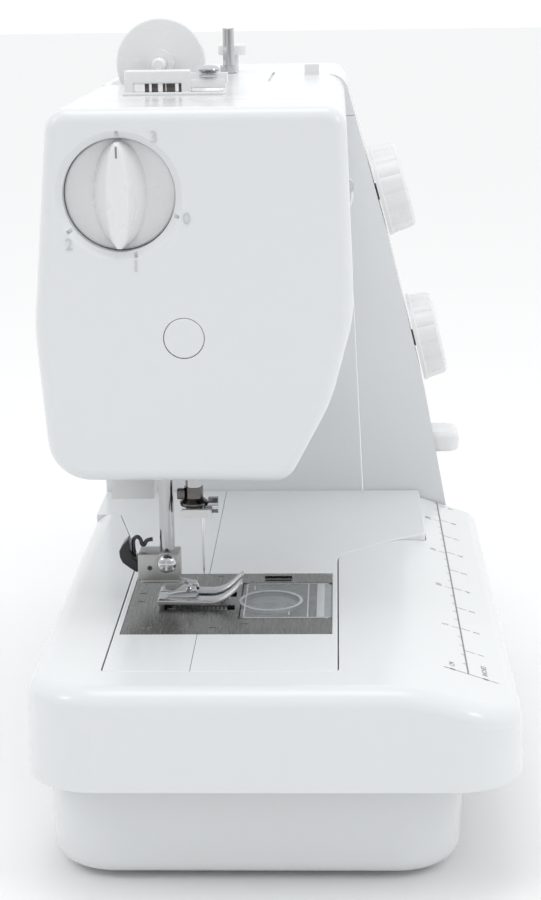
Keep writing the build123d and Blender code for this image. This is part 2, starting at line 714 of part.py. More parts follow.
with BuildPart() as bobbin_case:
    rod_z(hook_x, hook_y, (hook_floor + clearance, hook_top - clearance), case_radius)
    rod_z(hook_x, hook_y, (hook_top - clearance, hook_top + 2), pocket_radius + 1.6)
    rod_z(hook_x, hook_y, (hook_floor + 1.5, hook_top + 2), pocket_radius, mode=Mode.SUBTRACT)
finish(bobbin_case, "bobbin_case")

bobbin_z = hook_floor + 1.5 + clearance

with BuildPart() as bobbin:
    rod_z(hook_x, hook_y, (bobbin_z, bobbin_z + bobbin_height), 4)
    for z in (bobbin_z, bobbin_z + bobbin_height - 1):
        rod_z(hook_x, hook_y, (z, z + 1), bobbin_radius)
    with Locations((hook_x, hook_y, bobbin_z)):
        with PolarLocations(7, 4):
            Cylinder(1.4, 2 * bobbin_height + 2, mode=Mode.SUBTRACT)
    rod_z(hook_x, hook_y, (bobbin_z, bobbin_z + bobbin_height), 3, mode=Mode.SUBTRACT)
finish(bobbin, "bobbin")

carrier_z = (hook_top + 0.8, hook_top + 2.3)
tooth_pitch = 1.6
tooth_count = int((feed_y[1] - feed_y[0]) / tooth_pitch)

with BuildPart() as feed_dog:
    for row in feed_rows:
        block(row, feed_y, (carrier_z[0], bed_height - 1.2))
        for i in range(tooth_count):
            y0 = feed_y[0] + i * tooth_pitch
            block(row, (y0, y0 + tooth_pitch / 2), (bed_height - 1.2, bed_height - 0.4))
    block((feed_rows[0][0], feed_rows[1][1]), (feed_y[1] - 6, feed_y[1] + 4), carrier_z)
    block((needle_x - 5, needle_x + 5), (feed_y[1] - 2, feed_y[1] + 4), (lower_shaft_z + 10, carrier_z[1]))
    block((needle_x - 5, pillar_left - 8), (feed_y[1] - 2, feed_y[1] + 4), (lower_shaft_z + 10, lower_shaft_z + 16))
finish(feed_dog, "feed_dog")

# ---------------------------------------------------------------- shafts, pulleys, belts and motor

crank_x = (wall_x[0][0] - 7.5, wall_x[0][0] - 2.5)
link_x = (crank_x[0] - 4.7, crank_x[0] - 1.7)
crank_pin_radius = 3.0
crank_z = shaft_z + crank_radius

with BuildPart() as main_shaft:
    rod_x((crank_x[1], right_end - 2.5), shaft_y, shaft_z, shaft_radius)
    rod_x(crank_x, shaft_y, shaft_z, crank_disc_radius)
    rod_x((link_x[1] + 0.5, crank_x[0]), shaft_y, crank_z, crank_pin_radius)
finish(main_shaft, "main_shaft")

motor_pulley_x = (body_right - 41, body_right - 34)
timing_x = (body_right - 31, body_right - 22)
flange = 1.0

with BuildPart() as main_pulley:
    rod_x((motor_pulley_x[0], timing_x[1]), shaft_y, shaft_z, timing_radius)
    rod_x(motor_pulley_x, shaft_y, shaft_z, drive_pulley_radius)
    rod_x((motor_pulley_x[1], timing_x[0]), shaft_y, shaft_z, timing_radius + 4)
    rod_x((timing_x[1], timing_x[1] + flange), shaft_y, shaft_z, timing_radius + 4)
    rod_x((motor_pulley_x[0] - 1, timing_x[1] + 2), shaft_y, shaft_z, shaft_radius, mode=Mode.SUBTRACT)
finish(main_pulley, "main_pulley")

with BuildPart() as lower_shaft:
    rod_x((bearing_x[0][0] - 1, timing_x[1] + 2), lower_shaft_y, lower_shaft_z, lower_shaft_radius)
    rod_x((hook_x - gear_width / 2, hook_x + gear_width / 2), lower_shaft_y, lower_shaft_z, shaft_gear_radius)
    with Locations(Plane.YZ.offset(hook_x)):
        with Locations((lower_shaft_y, lower_shaft_z)):
            with PolarLocations(shaft_gear_radius, 14):
                Box(0.8, 0.8, gear_width, mode=Mode.SUBTRACT)
    rod_x(timing_x, lower_shaft_y, lower_shaft_z, timing_radius)
    for x in (timing_x[0] - flange, timing_x[1]):
        rod_x((x, x + flange), lower_shaft_y, lower_shaft_z, timing_radius + 4)
finish(lower_shaft, "lower_shaft")


def belt_loop(x_range, first, second):
    """A closed belt round two pulleys, each given as (y, z, radius)."""
    loops = []
    for extra in (clearance + belt_thickness, clearance):
        with BuildSketch(Plane.YZ.offset(x_range[0])) as loop:
            for y, z, radius in (first, second):
                with Locations((y, z)):
                    Circle(radius + extra)
            make_hull()
        loops.append(loop.sketch)
    extrude(loops[0], amount=x_range[1] - x_range[0])
    extrude(loops[1], amount=x_range[1] - x_range[0], mode=Mode.SUBTRACT)


def inside(x_range, width):
    """A narrower range with the same middle."""
    middle = sum(x_range) / 2
    return (middle - width / 2, middle + width / 2)


with BuildPart() as timing_belt:
    belt_loop(inside(timing_x, timing_belt_width), (shaft_y, shaft_z, timing_radius),
              (lower_shaft_y, lower_shaft_z, timing_radius))
finish(timing_belt, "timing_belt")

with BuildPart() as drive_belt:
    belt_loop(inside(motor_pulley_x, drive_belt_width), (shaft_y, shaft_z, drive_pulley_radius),
              (motor_y, motor_z, motor_pulley_radius))
finish(drive_belt, "drive_belt")

motor_x = (pillar_left + 8, pillar_left + 8 + motor_length)
motor_shaft_radius = 2.5

with BuildPart() as motor:
    rod_x(motor_x, motor_y, motor_z, motor_radius)
    fillet(motor.edges().filter_by(GeomType.CIRCLE), 3)
    rod_x((motor_x[1], motor_x[1] + 3), motor_y, motor_z, 8)
    rod_x((motor_x[1] - 8, motor_x[1] + 3), motor_y, motor_z, motor_shaft_radius + running_fit, mode=Mode.SUBTRACT)
    block((motor_x[0] + 10, motor_x[1] - 10), (motor_y - 12, motor_y + 12), (frame_top, motor_z - motor_radius + 3))
finish(motor, "motor")

with BuildPart() as motor_pulley:
    rod_x(motor_pulley_x, motor_y, motor_z, motor_pulley_radius)
    rod_x((motor_x[1] - 6, motor_pulley_x[1] + 1), motor_y, motor_z, motor_shaft_radius)
finish(motor_pulley, "motor_pulley")

with BuildPart() as handwheel:
    rod_x((right_end - handwheel_width, right_end), shaft_y, shaft_z, handwheel_radius)
    fillet(handwheel.edges().filter_by(GeomType.CIRCLE), 5)
    with Locations(Plane.YZ.offset(right_end - handwheel_width / 2)):
        with Locations((shaft_y, shaft_z)):
            with PolarLocations(handwheel_radius + 1.2, 36):
                Cylinder(2, handwheel_width, mode=Mode.SUBTRACT)
    rod_x((right_end - 6, right_end), shaft_y, shaft_z, handwheel_radius - 10, mode=Mode.SUBTRACT)
    rod_x((right_end - 7, right_end - 1), shaft_y, shaft_z, 15)
    rod_x((right_end - handwheel_width, right_end - 2.5), shaft_y, shaft_z, shaft_radius, mode=Mode.SUBTRACT)
finish(handwheel, "handwheel")

# ---------------------------------------------------------------- needle bar and take-up

block_x = (needle_x - 5, needle_x + 5)

with BuildPart() as needle_link:
    with BuildSketch(Plane.YZ.offset(link_x[0])) as bar:
        with Locations((shaft_y, (block_z + 6 + crank_z) / 2)):
            SlotCenterToCenter(crank_z - block_z - 6, 9, rotation=90)
    extrude(bar.sketch, amount=link_x[1] - link_x[0])
    rod_x(link_x, shaft_y, block_z + 6, 2.5 + running_fit, mode=Mode.SUBTRACT)
    rod_x(link_x, shaft_y, crank_z, crank_pin_radius, mode=Mode.SUBTRACT)
finish(needle_link, "needle_link")

with BuildPart() as needle_bar:
    rod_z(needle_x, needle_bar_y, (clamp_bottom + 6.5, bar_top), needle_bar_radius)
    chamfer(needle_bar.edges().filter_by(GeomType.CIRCLE).group_by(Axis.Z)[-1], 0.6)
    block(block_x, (needle_bar_y - 5, needle_bar_y + 4), (block_z, block_z + 12))
    rod_x((block_x[1], link_x[1] + 0.2), shaft_y, block_z + 6, 2.5)
finish(needle_bar, "needle_bar")

clamp_radius = 5.5
clamp_z = (clamp_bottom, clamp_bottom + 11.5)
guide_x = (needle_x - clamp_radius - 1.5, needle_x - clamp_radius + 0.5)
shank_radius = 1.0
shank_top = clamp_bottom + 6.2

with BuildPart() as needle_clamp:
    rod_z(needle_x, needle_bar_y, clamp_z, clamp_radius)
    chamfer(needle_clamp.edges().filter_by(GeomType.CIRCLE), 0.5)
    block((guide_x[0] - 1, guide_x[1]), (0, far), (0, far), mode=Mode.SUBTRACT)
    rod_z(needle_x, needle_bar_y, (clamp_bottom + 6.5, clamp_z[1]), needle_bar_radius, mode=Mode.SUBTRACT)
    rod_z(needle_x, needle_y, (clamp_bottom, shank_top), shank_radius, mode=Mode.SUBTRACT)
    rod_y(needle_x, (needle_bar_y - clamp_radius - 1, needle_y - shank_radius), clamp_bottom + 4, 1.5, mode=Mode.SUBTRACT)
finish(needle_clamp, "needle_clamp")

screw_tip = needle_y - shank_radius

with BuildPart() as needle_clamp_screw:
    rod_y(needle_x, (screw_tip - 3, screw_tip), clamp_bottom + 4, 1.5)
    rod_y(needle_x, (screw_tip - 5.2, screw_tip - 1.4), clamp_bottom + 4, 3.2)
    with Locations(Plane.XZ.offset(-(screw_tip - 3.3))):
        with Locations((needle_x, clamp_bottom + 4)):
            with PolarLocations(3.3, 16):
                Box(0.5, 0.5, 3.8, mode=Mode.SUBTRACT)
finish(needle_clamp_screw, "needle_clamp_screw")

with BuildPart() as needle:
    rod_z(needle_x, needle_y, (needle_tip + 17, shank_top), shank_radius)
    rod_z(needle_x, needle_y, (needle_tip + 2.5, needle_tip + 17), needle_radius)
    with Locations((needle_x, needle_y, needle_tip)):
        Cone(0.05, needle_radius, 2.5, align=(Align.CENTER, Align.CENTER, Align.MIN))
finish(needle, "needle")

with BuildPart() as needle_thread_guide:
    block(guide_x, (needle_bar_y - 7.2, needle_bar_y + 5), (clamp_bottom + 0.6, clamp_bottom + 3.8))
    fillet(needle_thread_guide.edges().filter_by(Axis.X), 1.2)
finish(needle_thread_guide, "needle_thread_guide")

takeup_tip = (casing_front - 0.5, shaft_z + 18)

with BuildPart() as take_up_lever:
    with BuildSketch(Plane.YZ.offset(takeup_x[0])) as profile:
        with Locations((takeup_y, shaft_z)):
            Circle(6)
        with Locations((takeup_tip[0] + 3, takeup_tip[1])):
            Circle(3)
        make_hull()
        with Locations((takeup_y, shaft_z)):
            Circle(3 + running_fit, mode=Mode.SUBTRACT)
        with Locations((takeup_tip[0] + 3, takeup_tip[1])):
            Circle(1.2, mode=Mode.SUBTRACT)
    extrude(profile.sketch, amount=takeup_x[1] - takeup_x[0])
finish(take_up_lever, "take_up_lever")

# ---------------------------------------------------------------- presser bar and foot

holder_z = (needle_tip - 1, needle_tip + 9.8)
holder_x = (needle_x - 5.5, needle_x + 5.5)
holder_y = (presser_bar_y - 5.1, presser_bar_y + 11.2)
bracket_z = (lifter_pivot[1] + 6.6, lifter_pivot[1] + 18)
spring_z = (bracket_z[1], lug_z[1][0])
spring_wire = 0.7
spring_radius = 4.4
spring_turns = 7
spring_height = spring_z[1] - spring_z[0] - 2 * spring_wire - 0.2
foot_pin = (presser_bar_y - 8.5, bed_height + 6.2)
pin_radius = 1.0
hanger_x = (needle_x - 2.5, needle_x + 2.5)

with BuildPart() as presser_bar:
    rod_z(needle_x, presser_bar_y, (holder_z[0] + 2, bar_top - 16), presser_bar_radius)
    chamfer(presser_bar.edges().filter_by(GeomType.CIRCLE).group_by(Axis.Z)[-1], 0.6)
    block((needle_x - 5, needle_x + 5), (presser_bar_y - 5, presser_bar_y + 5), bracket_z)
    block((needle_x + 4, lifter_pivot[0] + 4), (presser_bar_y, lifter_y[1] - 5), (bracket_z[0], bracket_z[0] + 4.5))
finish(presser_bar, "presser_bar")

with BuildPart() as presser_spring:
    with BuildLine() as coil:
        Helix(pitch=spring_height / spring_turns, height=spring_height, radius=spring_radius,
              center=(needle_x, presser_bar_y, spring_z[0] + spring_wire + 0.1))
    with BuildSketch(Plane(origin=coil.line @ 0, z_dir=coil.line % 0)):
        Circle(spring_wire)
    sweep()
finish(presser_spring, "presser_spring")

with BuildPart() as foot_holder:
    block(holder_x, holder_y, holder_z)
    fillet(foot_holder.edges().filter_by(Axis.X), 0.8)
    with BuildSketch(Plane.YZ.offset(hanger_x[0])) as hanger:
        with BuildLine():
            Polyline((holder_y[0] + 0.3, holder_z[0] + 1), (presser_bar_y + 2, holder_z[0] + 1),
                     (presser_bar_y + 2, foot_pin[1] - 1), (foot_pin[0] - 2.2, foot_pin[1] - 1),
                     (foot_pin[0] - 2.2, foot_pin[1] + 1.5), (holder_y[0] + 0.3, foot_pin[1] + 1.5), close=True)
        make_face()
    extrude(hanger.sketch, amount=hanger_x[1] - hanger_x[0])
    rod_x(holder_x, foot_pin[0], foot_pin[1], pin_radius + running_fit, mode=Mode.SUBTRACT)
    rod_z(needle_x, presser_bar_y, (holder_z[0] + 2, holder_z[1]), presser_bar_radius, mode=Mode.SUBTRACT)
    rod_x((holder_x[0], needle_x - presser_bar_radius + 0.3), presser_bar_y, sum(holder_z) / 2 + 1, 1.6, mode=Mode.SUBTRACT)
    rod_x((holder_x[0] - 1, holder_x[0] + 2), presser_bar_y + 6.5, sum(holder_z) / 2, 0.8, mode=Mode.SUBTRACT)
    lug_centre = (holder_y[1] + 2.4, holder_z[0] + 4.5)
    block(hanger_x, (holder_y[1] - 1, holder_y[1] + 4.4), (lug_centre[1] - 2.2, lug_centre[1] + 2.2))
    rod_x(holder_x, lug_centre[0], lug_centre[1], pin_radius + running_fit, mode=Mode.SUBTRACT)
finish(foot_holder, "foot_holder")

with BuildPart() as foot_holder_screw:
    rod_x((holder_x[0], needle_x - presser_bar_radius), presser_bar_y, sum(holder_z) / 2 + 1, 1.6)
    rod_x((holder_x[0] - 3, holder_x[0]), presser_bar_y, sum(holder_z) / 2 + 1, 3.85)
    fillet(foot_holder_screw.edges().filter_by(GeomType.CIRCLE).sort_by(Axis.X)[0], 1.6)
    block((holder_x[0] - 3, holder_x[0] - 1.8), (presser_bar_y - 2.6, presser_bar_y + 2.6),
          (sum(holder_z) / 2 + 0.6, sum(holder_z) / 2 + 1.4), mode=Mode.SUBTRACT)
    block((holder_x[0] - 3, holder_x[0] - 1.8), (presser_bar_y - 0.4, presser_bar_y + 0.4),
          (sum(holder_z) / 2 - 1.6, sum(holder_z) / 2 + 3.6), mode=Mode.SUBTRACT)
finish(foot_holder_screw, "foot_holder_screw")

with BuildPart() as foot_release_lever:
    with BuildSketch(Plane.YZ.offset(hanger_x[0] - 1.8)) as profile:
        with BuildLine():
            outer = ThreePointArc((lug_centre[0] - 1.7, lug_centre[1] - 2), (lug_centre[0] + 1.6, lug_centre[1] - 2),
                                  (lug_centre[0] + 2.4, lug_centre[1] + 1.5))
            reach_arc = ThreePointArc(outer @ 1, (lug_centre[0] + 3.6, lug_centre[1] + 7),
                                      (lug_centre[0] + 7.0, lug_centre[1] + 12))
            end = Line(reach_arc @ 1, (lug_centre[0] + 5.4, lug_centre[1] + 13))
            back = ThreePointArc(end @ 1, (lug_centre[0] + 1.4, lug_centre[1] + 7), (lug_centre[0] - 1.7, lug_centre[1] + 1))
            Line(back @ 1, outer @ 0)
        make_face()
    extrude(profile.sketch, amount=hanger_x[1] - hanger_x[0] + 3.6)
    block((hanger_x[0] - clearance, hanger_x[1] + clearance), (0, lug_centre[0] + 3.0),
          (lug_centre[1] - 3, lug_centre[1] + 6.5), mode=Mode.SUBTRACT)
    rod_x((hanger_x[0] - 1.8, hanger_x[1] + 1.8), lug_centre[0], lug_centre[1], pin_radius)
finish(foot_release_lever, "foot_release_lever")

foot_half = 10.0
sole_z = bed_height + sole_gap
sole_thickness = 1.6
foot_heel = presser_bar_y + 3.5
toe_start = needle_y - 4.0
toe_tip = cover_y[1] + 0.6

with BuildPart() as presser_foot:
    with BuildSketch(Plane.YZ.offset(needle_x - foot_half)) as sole:
        with BuildLine():
            bottom = Line((foot_heel, sole_z), (toe_start, sole_z))
            rise = ThreePointArc(bottom @ 1, ((toe_start + toe_tip) / 2 - 0.6, sole_z + 1.9), (toe_tip, sole_z + 6.4))
            tip = Line(rise @ 1, (toe_tip + 1.1, sole_z + 7.2))
            top = ThreePointArc(tip @ 1, ((toe_start + toe_tip) / 2 + 0.5, sole_z + 3.4), (toe_start, sole_z + sole_thickness))
            Polyline(top @ 1, (foot_heel, sole_z + sole_thickness), bottom @ 0)
        make_face()
    extrude(sole.sketch, amount=2 * foot_half)
    for x in (hanger_x[0] - 1.5 - clearance, hanger_x[1] + clearance):
        block((x, x + 1.5), (foot_pin[0] - 3, foot_pin[0] + 3), (sole_z + 0.5, foot_pin[1] + 1.6))
    rod_x((hanger_x[0] - 1.5 - clearance, hanger_x[1] + 1.5 + clearance), foot_pin[0], foot_pin[1], pin_radius)
    with BuildSketch(Plane.XY.offset(sole_z - 1)) as hole:
        with Locations((needle_x, needle_y)):
            SlotOverall(needle_hole + 1, 3.6)
        with Locations((needle_x, toe_tip + 2)):
            SlotOverall(2 * (needle_y - toe_tip - 6), 3.0, rotation=90)
    extrude(hole.sketch, amount=12, mode=Mode.SUBTRACT)
finish(presser_foot, "presser_foot")

tab_z = (lifter_pivot[1] - 33.5, lifter_pivot[1] - 29.5)
tab_x = (lifter_pivot[0] - 6, lifter_pivot[0] + 30)

with BuildPart() as presser_lifter:
    rod_y(lifter_pivot[0], lifter_y, lifter_pivot[1], 6)
    with BuildSketch(Plane.XZ.offset(-lifter_y[1])) as profile:
        with BuildLine():
            Polyline((lifter_pivot[0] - 5, lifter_pivot[1] - 3), (tab_x[0], tab_z[1]), (tab_x[0], tab_z[0]),
                     (tab_x[1], tab_z[0]), (tab_x[1], tab_z[1]), (tab_x[0] + 12, tab_z[1] + 0.5),
                     (lifter_pivot[0] + 5, lifter_pivot[1] - 3), close=True)
        make_face()
    extrude(profile.sketch, amount=lifter_y[1] - lifter_y[0])
    fillet(presser_lifter.edges().filter_by(Axis.Y).group_by(Axis.X)[-1], 1.4)
    rod_y(lifter_pivot[0], (lifter_y[0] - 1, lifter_y[1] + 1), lifter_pivot[1], 2.5 + running_fit, mode=Mode.SUBTRACT)
finish(presser_lifter, "presser_lifter")

# ---------------------------------------------------------------- dials, levers, switch and inlet

with BuildPart() as pressure_dial:
    rod_x((dial_recess_x - 3, dial_recess_x - clearance), pressure_dial_y, pressure_dial_z,
          pressure_recess_radius - clearance)
    with BuildSketch(Plane.YZ.offset(head_left - 3)) as grip:
        with Locations((pressure_dial_y, pressure_dial_z)):
            Ellipse(5.5, pressure_recess_radius - 1.0)
    extrude(grip.sketch, amount=pressure_recess_depth)
    rod_x((dial_recess_x - 1, dial_recess_x + 11), pressure_dial_y, pressure_dial_z, dial_shaft_radius)
finish(pressure_dial, "pressure_dial")

with BuildPart() as tension_wheel:
    rod_x((tension_x - tension_width / 2, tension_x + tension_width / 2), tension_y, tension_z, tension_radius)
    chamfer(tension_wheel.edges().filter_by(GeomType.CIRCLE), 0.8)
    rod_x((tension_x - 8, tension_x), tension_y, tension_z, 2)
finish(tension_wheel, "tension_wheel")

standoff = 0.9
flutes = 24


def fluted_dial(plane, radius, height, shaft_length):
    """A round dial with a fluted rim and a shaft that runs into the casing."""
    with BuildSketch(plane.offset(standoff)) as disc:
        Circle(radius)
    extrude(disc.sketch, amount=height)
    with BuildSketch(plane.offset(standoff + height)) as rim:
        with PolarLocations(radius + 0.7, flutes):
            Circle(1.6)
    extrude(rim.sketch, amount=-(height - 3), mode=Mode.SUBTRACT)
    with BuildSketch(plane.offset(standoff)) as shaft:
        Circle(dial_shaft_radius)
    extrude(shaft.sketch, amount=-shaft_length)


with BuildPart() as upper_dial:
    fluted_dial(upper_plane, upper_dial_radius, upper_dial_height, 26)
finish(upper_dial, "upper_dial")

with BuildPart() as lower_dial:
    fluted_dial(lower_plane, lower_dial_radius, lower_dial_height, 14)
finish(lower_dial, "lower_dial")

with BuildPart() as pattern_cam:
    for step, radius in enumerate((13.0, 11.5, 12.4, 10.8)):
        with BuildSketch(upper_plane.offset(-12 - 2.5 * step)) as lobe:
            Circle(radius)
            with PolarLocations(radius - 1, 3, start_angle=20 * step):
                Circle(2.2)
        extrude(lobe.sketch, amount=2.5)
    with BuildSketch(upper_plane.offset(-9.5)) as bore:
        Circle(dial_shaft_radius)
    extrude(bore.sketch, amount=-10, mode=Mode.SUBTRACT)
finish(pattern_cam, "pattern_cam")

lever_tip = panel_y(lever_z) - 12
lever_back = lever_pivot_y + 4

with BuildPart() as reverse_lever:
    with BuildSketch(Plane.XY.offset(lever_z - lever_thickness / 2)) as tab:
        with Locations((dial_x, (lever_tip + lever_back) / 2)):
            RectangleRounded(lever_width, lever_back - lever_tip, 6)
    extrude(tab.sketch, amount=lever_thickness)
    fillet(reverse_lever.faces().sort_by(Axis.Z)[-1].edges(), 3)
    fillet(reverse_lever.faces().sort_by(Axis.Z)[0].edges(), 2)
    rod_x((dial_x - lever_width / 2 - 8, dial_x + lever_width / 2 + 8), lever_pivot_y, lever_z, lever_pin_radius)
finish(reverse_lever, "reverse_lever")

switch_tilt = 8.0
switch_reach = (switch_z[1] - switch_z[0]) / 2 - 1.5
switch_profile = [(-4.5, 4 - switch_reach), (3.8, -switch_reach), (2.5, 0), (3.8, switch_reach), (-4.5, switch_reach - 4)]
tilt_cos = math.cos(math.radians(switch_tilt))
tilt_sin = math.sin(math.radians(switch_tilt))

with BuildPart() as power_switch:
    with BuildSketch(Plane.XZ.offset(-switch_y[1])) as rocker:
        with BuildLine():
            Polyline(*[(switch_centre[0] + x * tilt_cos - z * tilt_sin, switch_centre[1] + x * tilt_sin + z * tilt_cos)
                       for x, z in switch_profile], close=True)
        make_face()
    extrude(rocker.sketch, amount=switch_y[1] - switch_y[0])
    rod_y(switch_centre[0], switch_pin_y, switch_centre[1], switch_pin_radius)
finish(power_switch, "power_switch")

pin_gap = 8.6
inlet_depth = 12.0

with BuildPart() as power_inlet:
    block((body_right - inlet_depth - 3, body_right + 0.2), inlet_y, inlet_z)
    block((body_right - inlet_depth, body_right + 1), (inlet_y[0] + 2, inlet_y[1] - 2), (inlet_z[0] + 2.5, inlet_z[1] - 2.5),
          mode=Mode.SUBTRACT)
    for side in (-1, 1):
        rod_x((body_right - inlet_depth - 1, body_right - 3), sum(inlet_y) / 2 + side * pin_gap / 2, sum(inlet_z) / 2, 1.2)
finish(power_inlet, "power_inlet")

# ---------------------------------------------------------------- lamp

with BuildPart() as lamp_socket:
    rod_z(lamp_x, lamp_y, (lamp_z - 9, lamp_z), 6.5)
    rod_z(lamp_x, lamp_y, (lamp_z - 9, lamp_z - 2), 4.6, mode=Mode.SUBTRACT)
finish(lamp_socket, "lamp_socket")

with BuildPart() as lamp_bulb:
    rod_z(lamp_x, lamp_y, (lamp_z - 16, lamp_z - 2), 4.6)
    with Locations((lamp_x, lamp_y, lamp_z - 21)):
        Sphere(7)
finish(lamp_bulb, "lamp_bulb")

# ---------------------------------------------------------------- spool, thread guides and winder

with BuildPart() as spool_pin:
    rod_x((spool_x - 12, trough_x[1]), spool_y, spool_z, spool_pin_radius)
    chamfer(spool_pin.edges().filter_by(GeomType.CIRCLE).sort_by(Axis.X)[0], 1)
    block((trough_x[1] - 4, trough_x[1]), (spool_y - 7, spool_y + 7), (body_height - 8, spool_z + 5))
finish(spool_pin, "spool_pin")

with BuildPart() as spool_cap:
    rod_x((spool_x, spool_x + 3), spool_y, spool_z, spool_cap_radius)
    fillet(spool_cap.edges().filter_by(GeomType.CIRCLE), 1)
    rod_x((spool_x - 4, spool_x + 8), spool_y, spool_z, 6)
    rod_x((spool_x - 5, spool_x + 9), spool_y, spool_z, spool_pin_radius + running_fit, mode=Mode.SUBTRACT)
finish(spool_cap, "spool_cap")

guide_bar_x = (needle_x + 34, needle_x + 40)
guide_bar_z = (body_height + 4.5, body_height + 9.6)
guide_bar_y = (33.0, 59.0)
winder_guide = (needle_x + 37, 25.8)
nub_x = (pillar_left + 0.2, pillar_left + 7.2)
nub_y = (-15.5, -9.0)

with BuildPart() as thread_guides:
    block(guide_bar_x, guide_bar_y, guide_bar_z)
    fillet(thread_guides.edges().filter_by(Axis.Z), 1.5)
    fillet(thread_guides.edges().filter_by(Axis.Y), 0.8)
    for y in (guide_bar_y[0], guide_bar_y[1] - 3.5):
        block(guide_bar_x, (y, y + 3.5), (body_height, guide_bar_z[0] + 1))
    block(guide_bar_x, (winder_guide[1] - 7, guide_bar_y[0] + 1), (guide_bar_z[0], guide_bar_z[1] - 1.3))
    block(nub_x, nub_y, (body_height, body_height + 4.5))
finish(thread_guides, "thread_guides")

disc_z = guide_bar_z[1] - 1.3

with BuildPart() as winder_tension_disc:
    rod_z(*winder_guide, (disc_z, disc_z + 4.5), 1.4)
    for z0, r0, r1 in ((disc_z, 3.2, 4.8), (disc_z + 2.2, 4.8, 3.2)):
        with Locations((*winder_guide, z0)):
            Cone(r0, r1, 1.9, align=(Align.CENTER, Align.CENTER, Align.MIN))
    rod_z(*winder_guide, (disc_z + 1.8, disc_z + 2.3), 3.6)
finish(winder_tension_disc, "winder_tension_disc")

with BuildPart() as winder_spindle:
    rod_z(spindle_x, spindle_y, (body_height - 9, spindle_top), spindle_radius)
    rod_z(spindle_x, spindle_y, (body_height + clearance, body_height + 3.6), 3.9)
    block((spindle_x - 0.5, spindle_x + 0.5), (spindle_y - 5, spindle_y + 5), (spindle_top - 11, spindle_top), mode=Mode.SUBTRACT)
    chamfer(winder_spindle.faces().sort_by(Axis.Z)[-1].edges(), 0.4)
finish(winder_spindle, "winder_spindle")

stopper_x = spindle_x + 14

with BuildPart() as winder_stopper:
    rod_z(stopper_x, spindle_y - 1, (body_height, body_height + 8), 3)
    rod_z(stopper_x, spindle_y - 1, (body_height + 7.7, body_height + 12.6), 6.5)
    chamfer(winder_stopper.edges().filter_by(GeomType.CIRCLE).sort_by(Axis.Z)[-1], 0.8)
finish(winder_stopper, "winder_stopper")

# ---------------------------------------------------------------- screws

with BuildPart() as casing_screws:
    for x, y in plate_screw_places:
        rod_z(x, y, (plate_bottom - 1.3, bed_height - 0.2), 2.2)
        block((x - 1.8, x + 1.8), (y - 0.3, y + 0.3), (bed_height - 0.8, bed_height), mode=Mode.SUBTRACT)
finish(casing_screws, "casing_screws")
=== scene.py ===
import math

import bmesh
import bpy
from mathutils import Matrix, Vector


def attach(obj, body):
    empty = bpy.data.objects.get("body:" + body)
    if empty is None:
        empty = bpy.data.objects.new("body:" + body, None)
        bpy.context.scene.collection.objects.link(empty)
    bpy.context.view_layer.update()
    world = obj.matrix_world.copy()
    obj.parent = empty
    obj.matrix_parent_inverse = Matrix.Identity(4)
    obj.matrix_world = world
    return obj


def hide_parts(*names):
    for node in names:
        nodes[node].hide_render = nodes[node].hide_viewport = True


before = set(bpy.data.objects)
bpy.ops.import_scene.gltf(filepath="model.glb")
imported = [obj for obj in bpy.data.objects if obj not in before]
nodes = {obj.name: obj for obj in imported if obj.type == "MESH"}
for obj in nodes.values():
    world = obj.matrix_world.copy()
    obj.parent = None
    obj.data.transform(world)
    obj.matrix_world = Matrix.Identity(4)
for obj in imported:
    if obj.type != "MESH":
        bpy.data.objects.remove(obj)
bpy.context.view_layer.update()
MM = 0.001

# ---------------------------------------------------------------- camera, floor and studio light
# The machine stands on a pale sweep and is seen from its sewing end, a little above the head.
# Three small soft lights hang over it and stand at its sides, and the room is darkest low behind the camera.

LENS = 78.91
SENSOR_WIDTH = 36.0
CAMERA_PLACE = (-0.84293, -0.02370, 0.32458)
PITCH, YAW, ROLL = math.radians(13.884), math.radians(2.054), math.radians(-0.811)

forward = Vector((math.cos(PITCH) * math.cos(YAW), math.cos(PITCH) * math.sin(YAW), -math.sin(PITCH)))
level = Vector((math.sin(YAW), -math.cos(YAW), 0.0))
upright = level.cross(forward)
right = math.cos(ROLL) * level + math.sin(ROLL) * upright
top = -math.sin(ROLL) * level + math.cos(ROLL) * upright
bpy.ops.object.select_all(action="DESELECT")
bpy.ops.object.camera_add()
camera = bpy.context.object
camera.name = "camera"
camera.data.lens = LENS
camera.data.sensor_width = SENSOR_WIDTH
camera.data.sensor_fit = "AUTO"
camera.data.clip_start = 0.05
camera.matrix_world = Matrix((
    (right.x, top.x, -forward.x, CAMERA_PLACE[0]),
    (right.y, top.y, -forward.y, CAMERA_PLACE[1]),
    (right.z, top.z, -forward.z, CAMERA_PLACE[2]),
    (0.0, 0.0, 0.0, 1.0),
))
bpy.context.scene.camera = camera


def new_material(name, **sockets):
    """A Principled material with its plain values set on the shader's own sockets."""
    material = bpy.data.materials.new(name)
    material.use_nodes = True
    shader = material.node_tree.nodes["Principled BSDF"]
    for socket, value in sockets.items():
        shader.inputs[socket.replace("_", " ")].default_value = value
    return material


def soft_light(name, place, target, width, height, power, colour=(1.0, 1.0, 1.0)):
    """A rectangular studio light pointed at a place."""
    bpy.ops.object.select_all(action="DESELECT")
    bpy.ops.object.light_add(type="AREA", location=place)
    lamp = bpy.context.object
    lamp.name = name
    lamp.data.shape = "RECTANGLE"
    lamp.data.size, lamp.data.size_y = width, height
    lamp.data.energy = power
    lamp.data.color = colour
    lamp.rotation_euler = (Vector(target) - Vector(place)).to_track_quat("-Z", "Y").to_euler()
    return lamp


bpy.ops.object.select_all(action="DESELECT")
bpy.ops.mesh.primitive_plane_add(size=12.0, location=(3.0, 0.0, 0.0))
floor = bpy.context.object
floor.name = "floor"
floor.data.materials.append(new_material("pale_floor", Base_Color=(0.93, 0.93, 0.93, 1.0), Roughness=0.85))

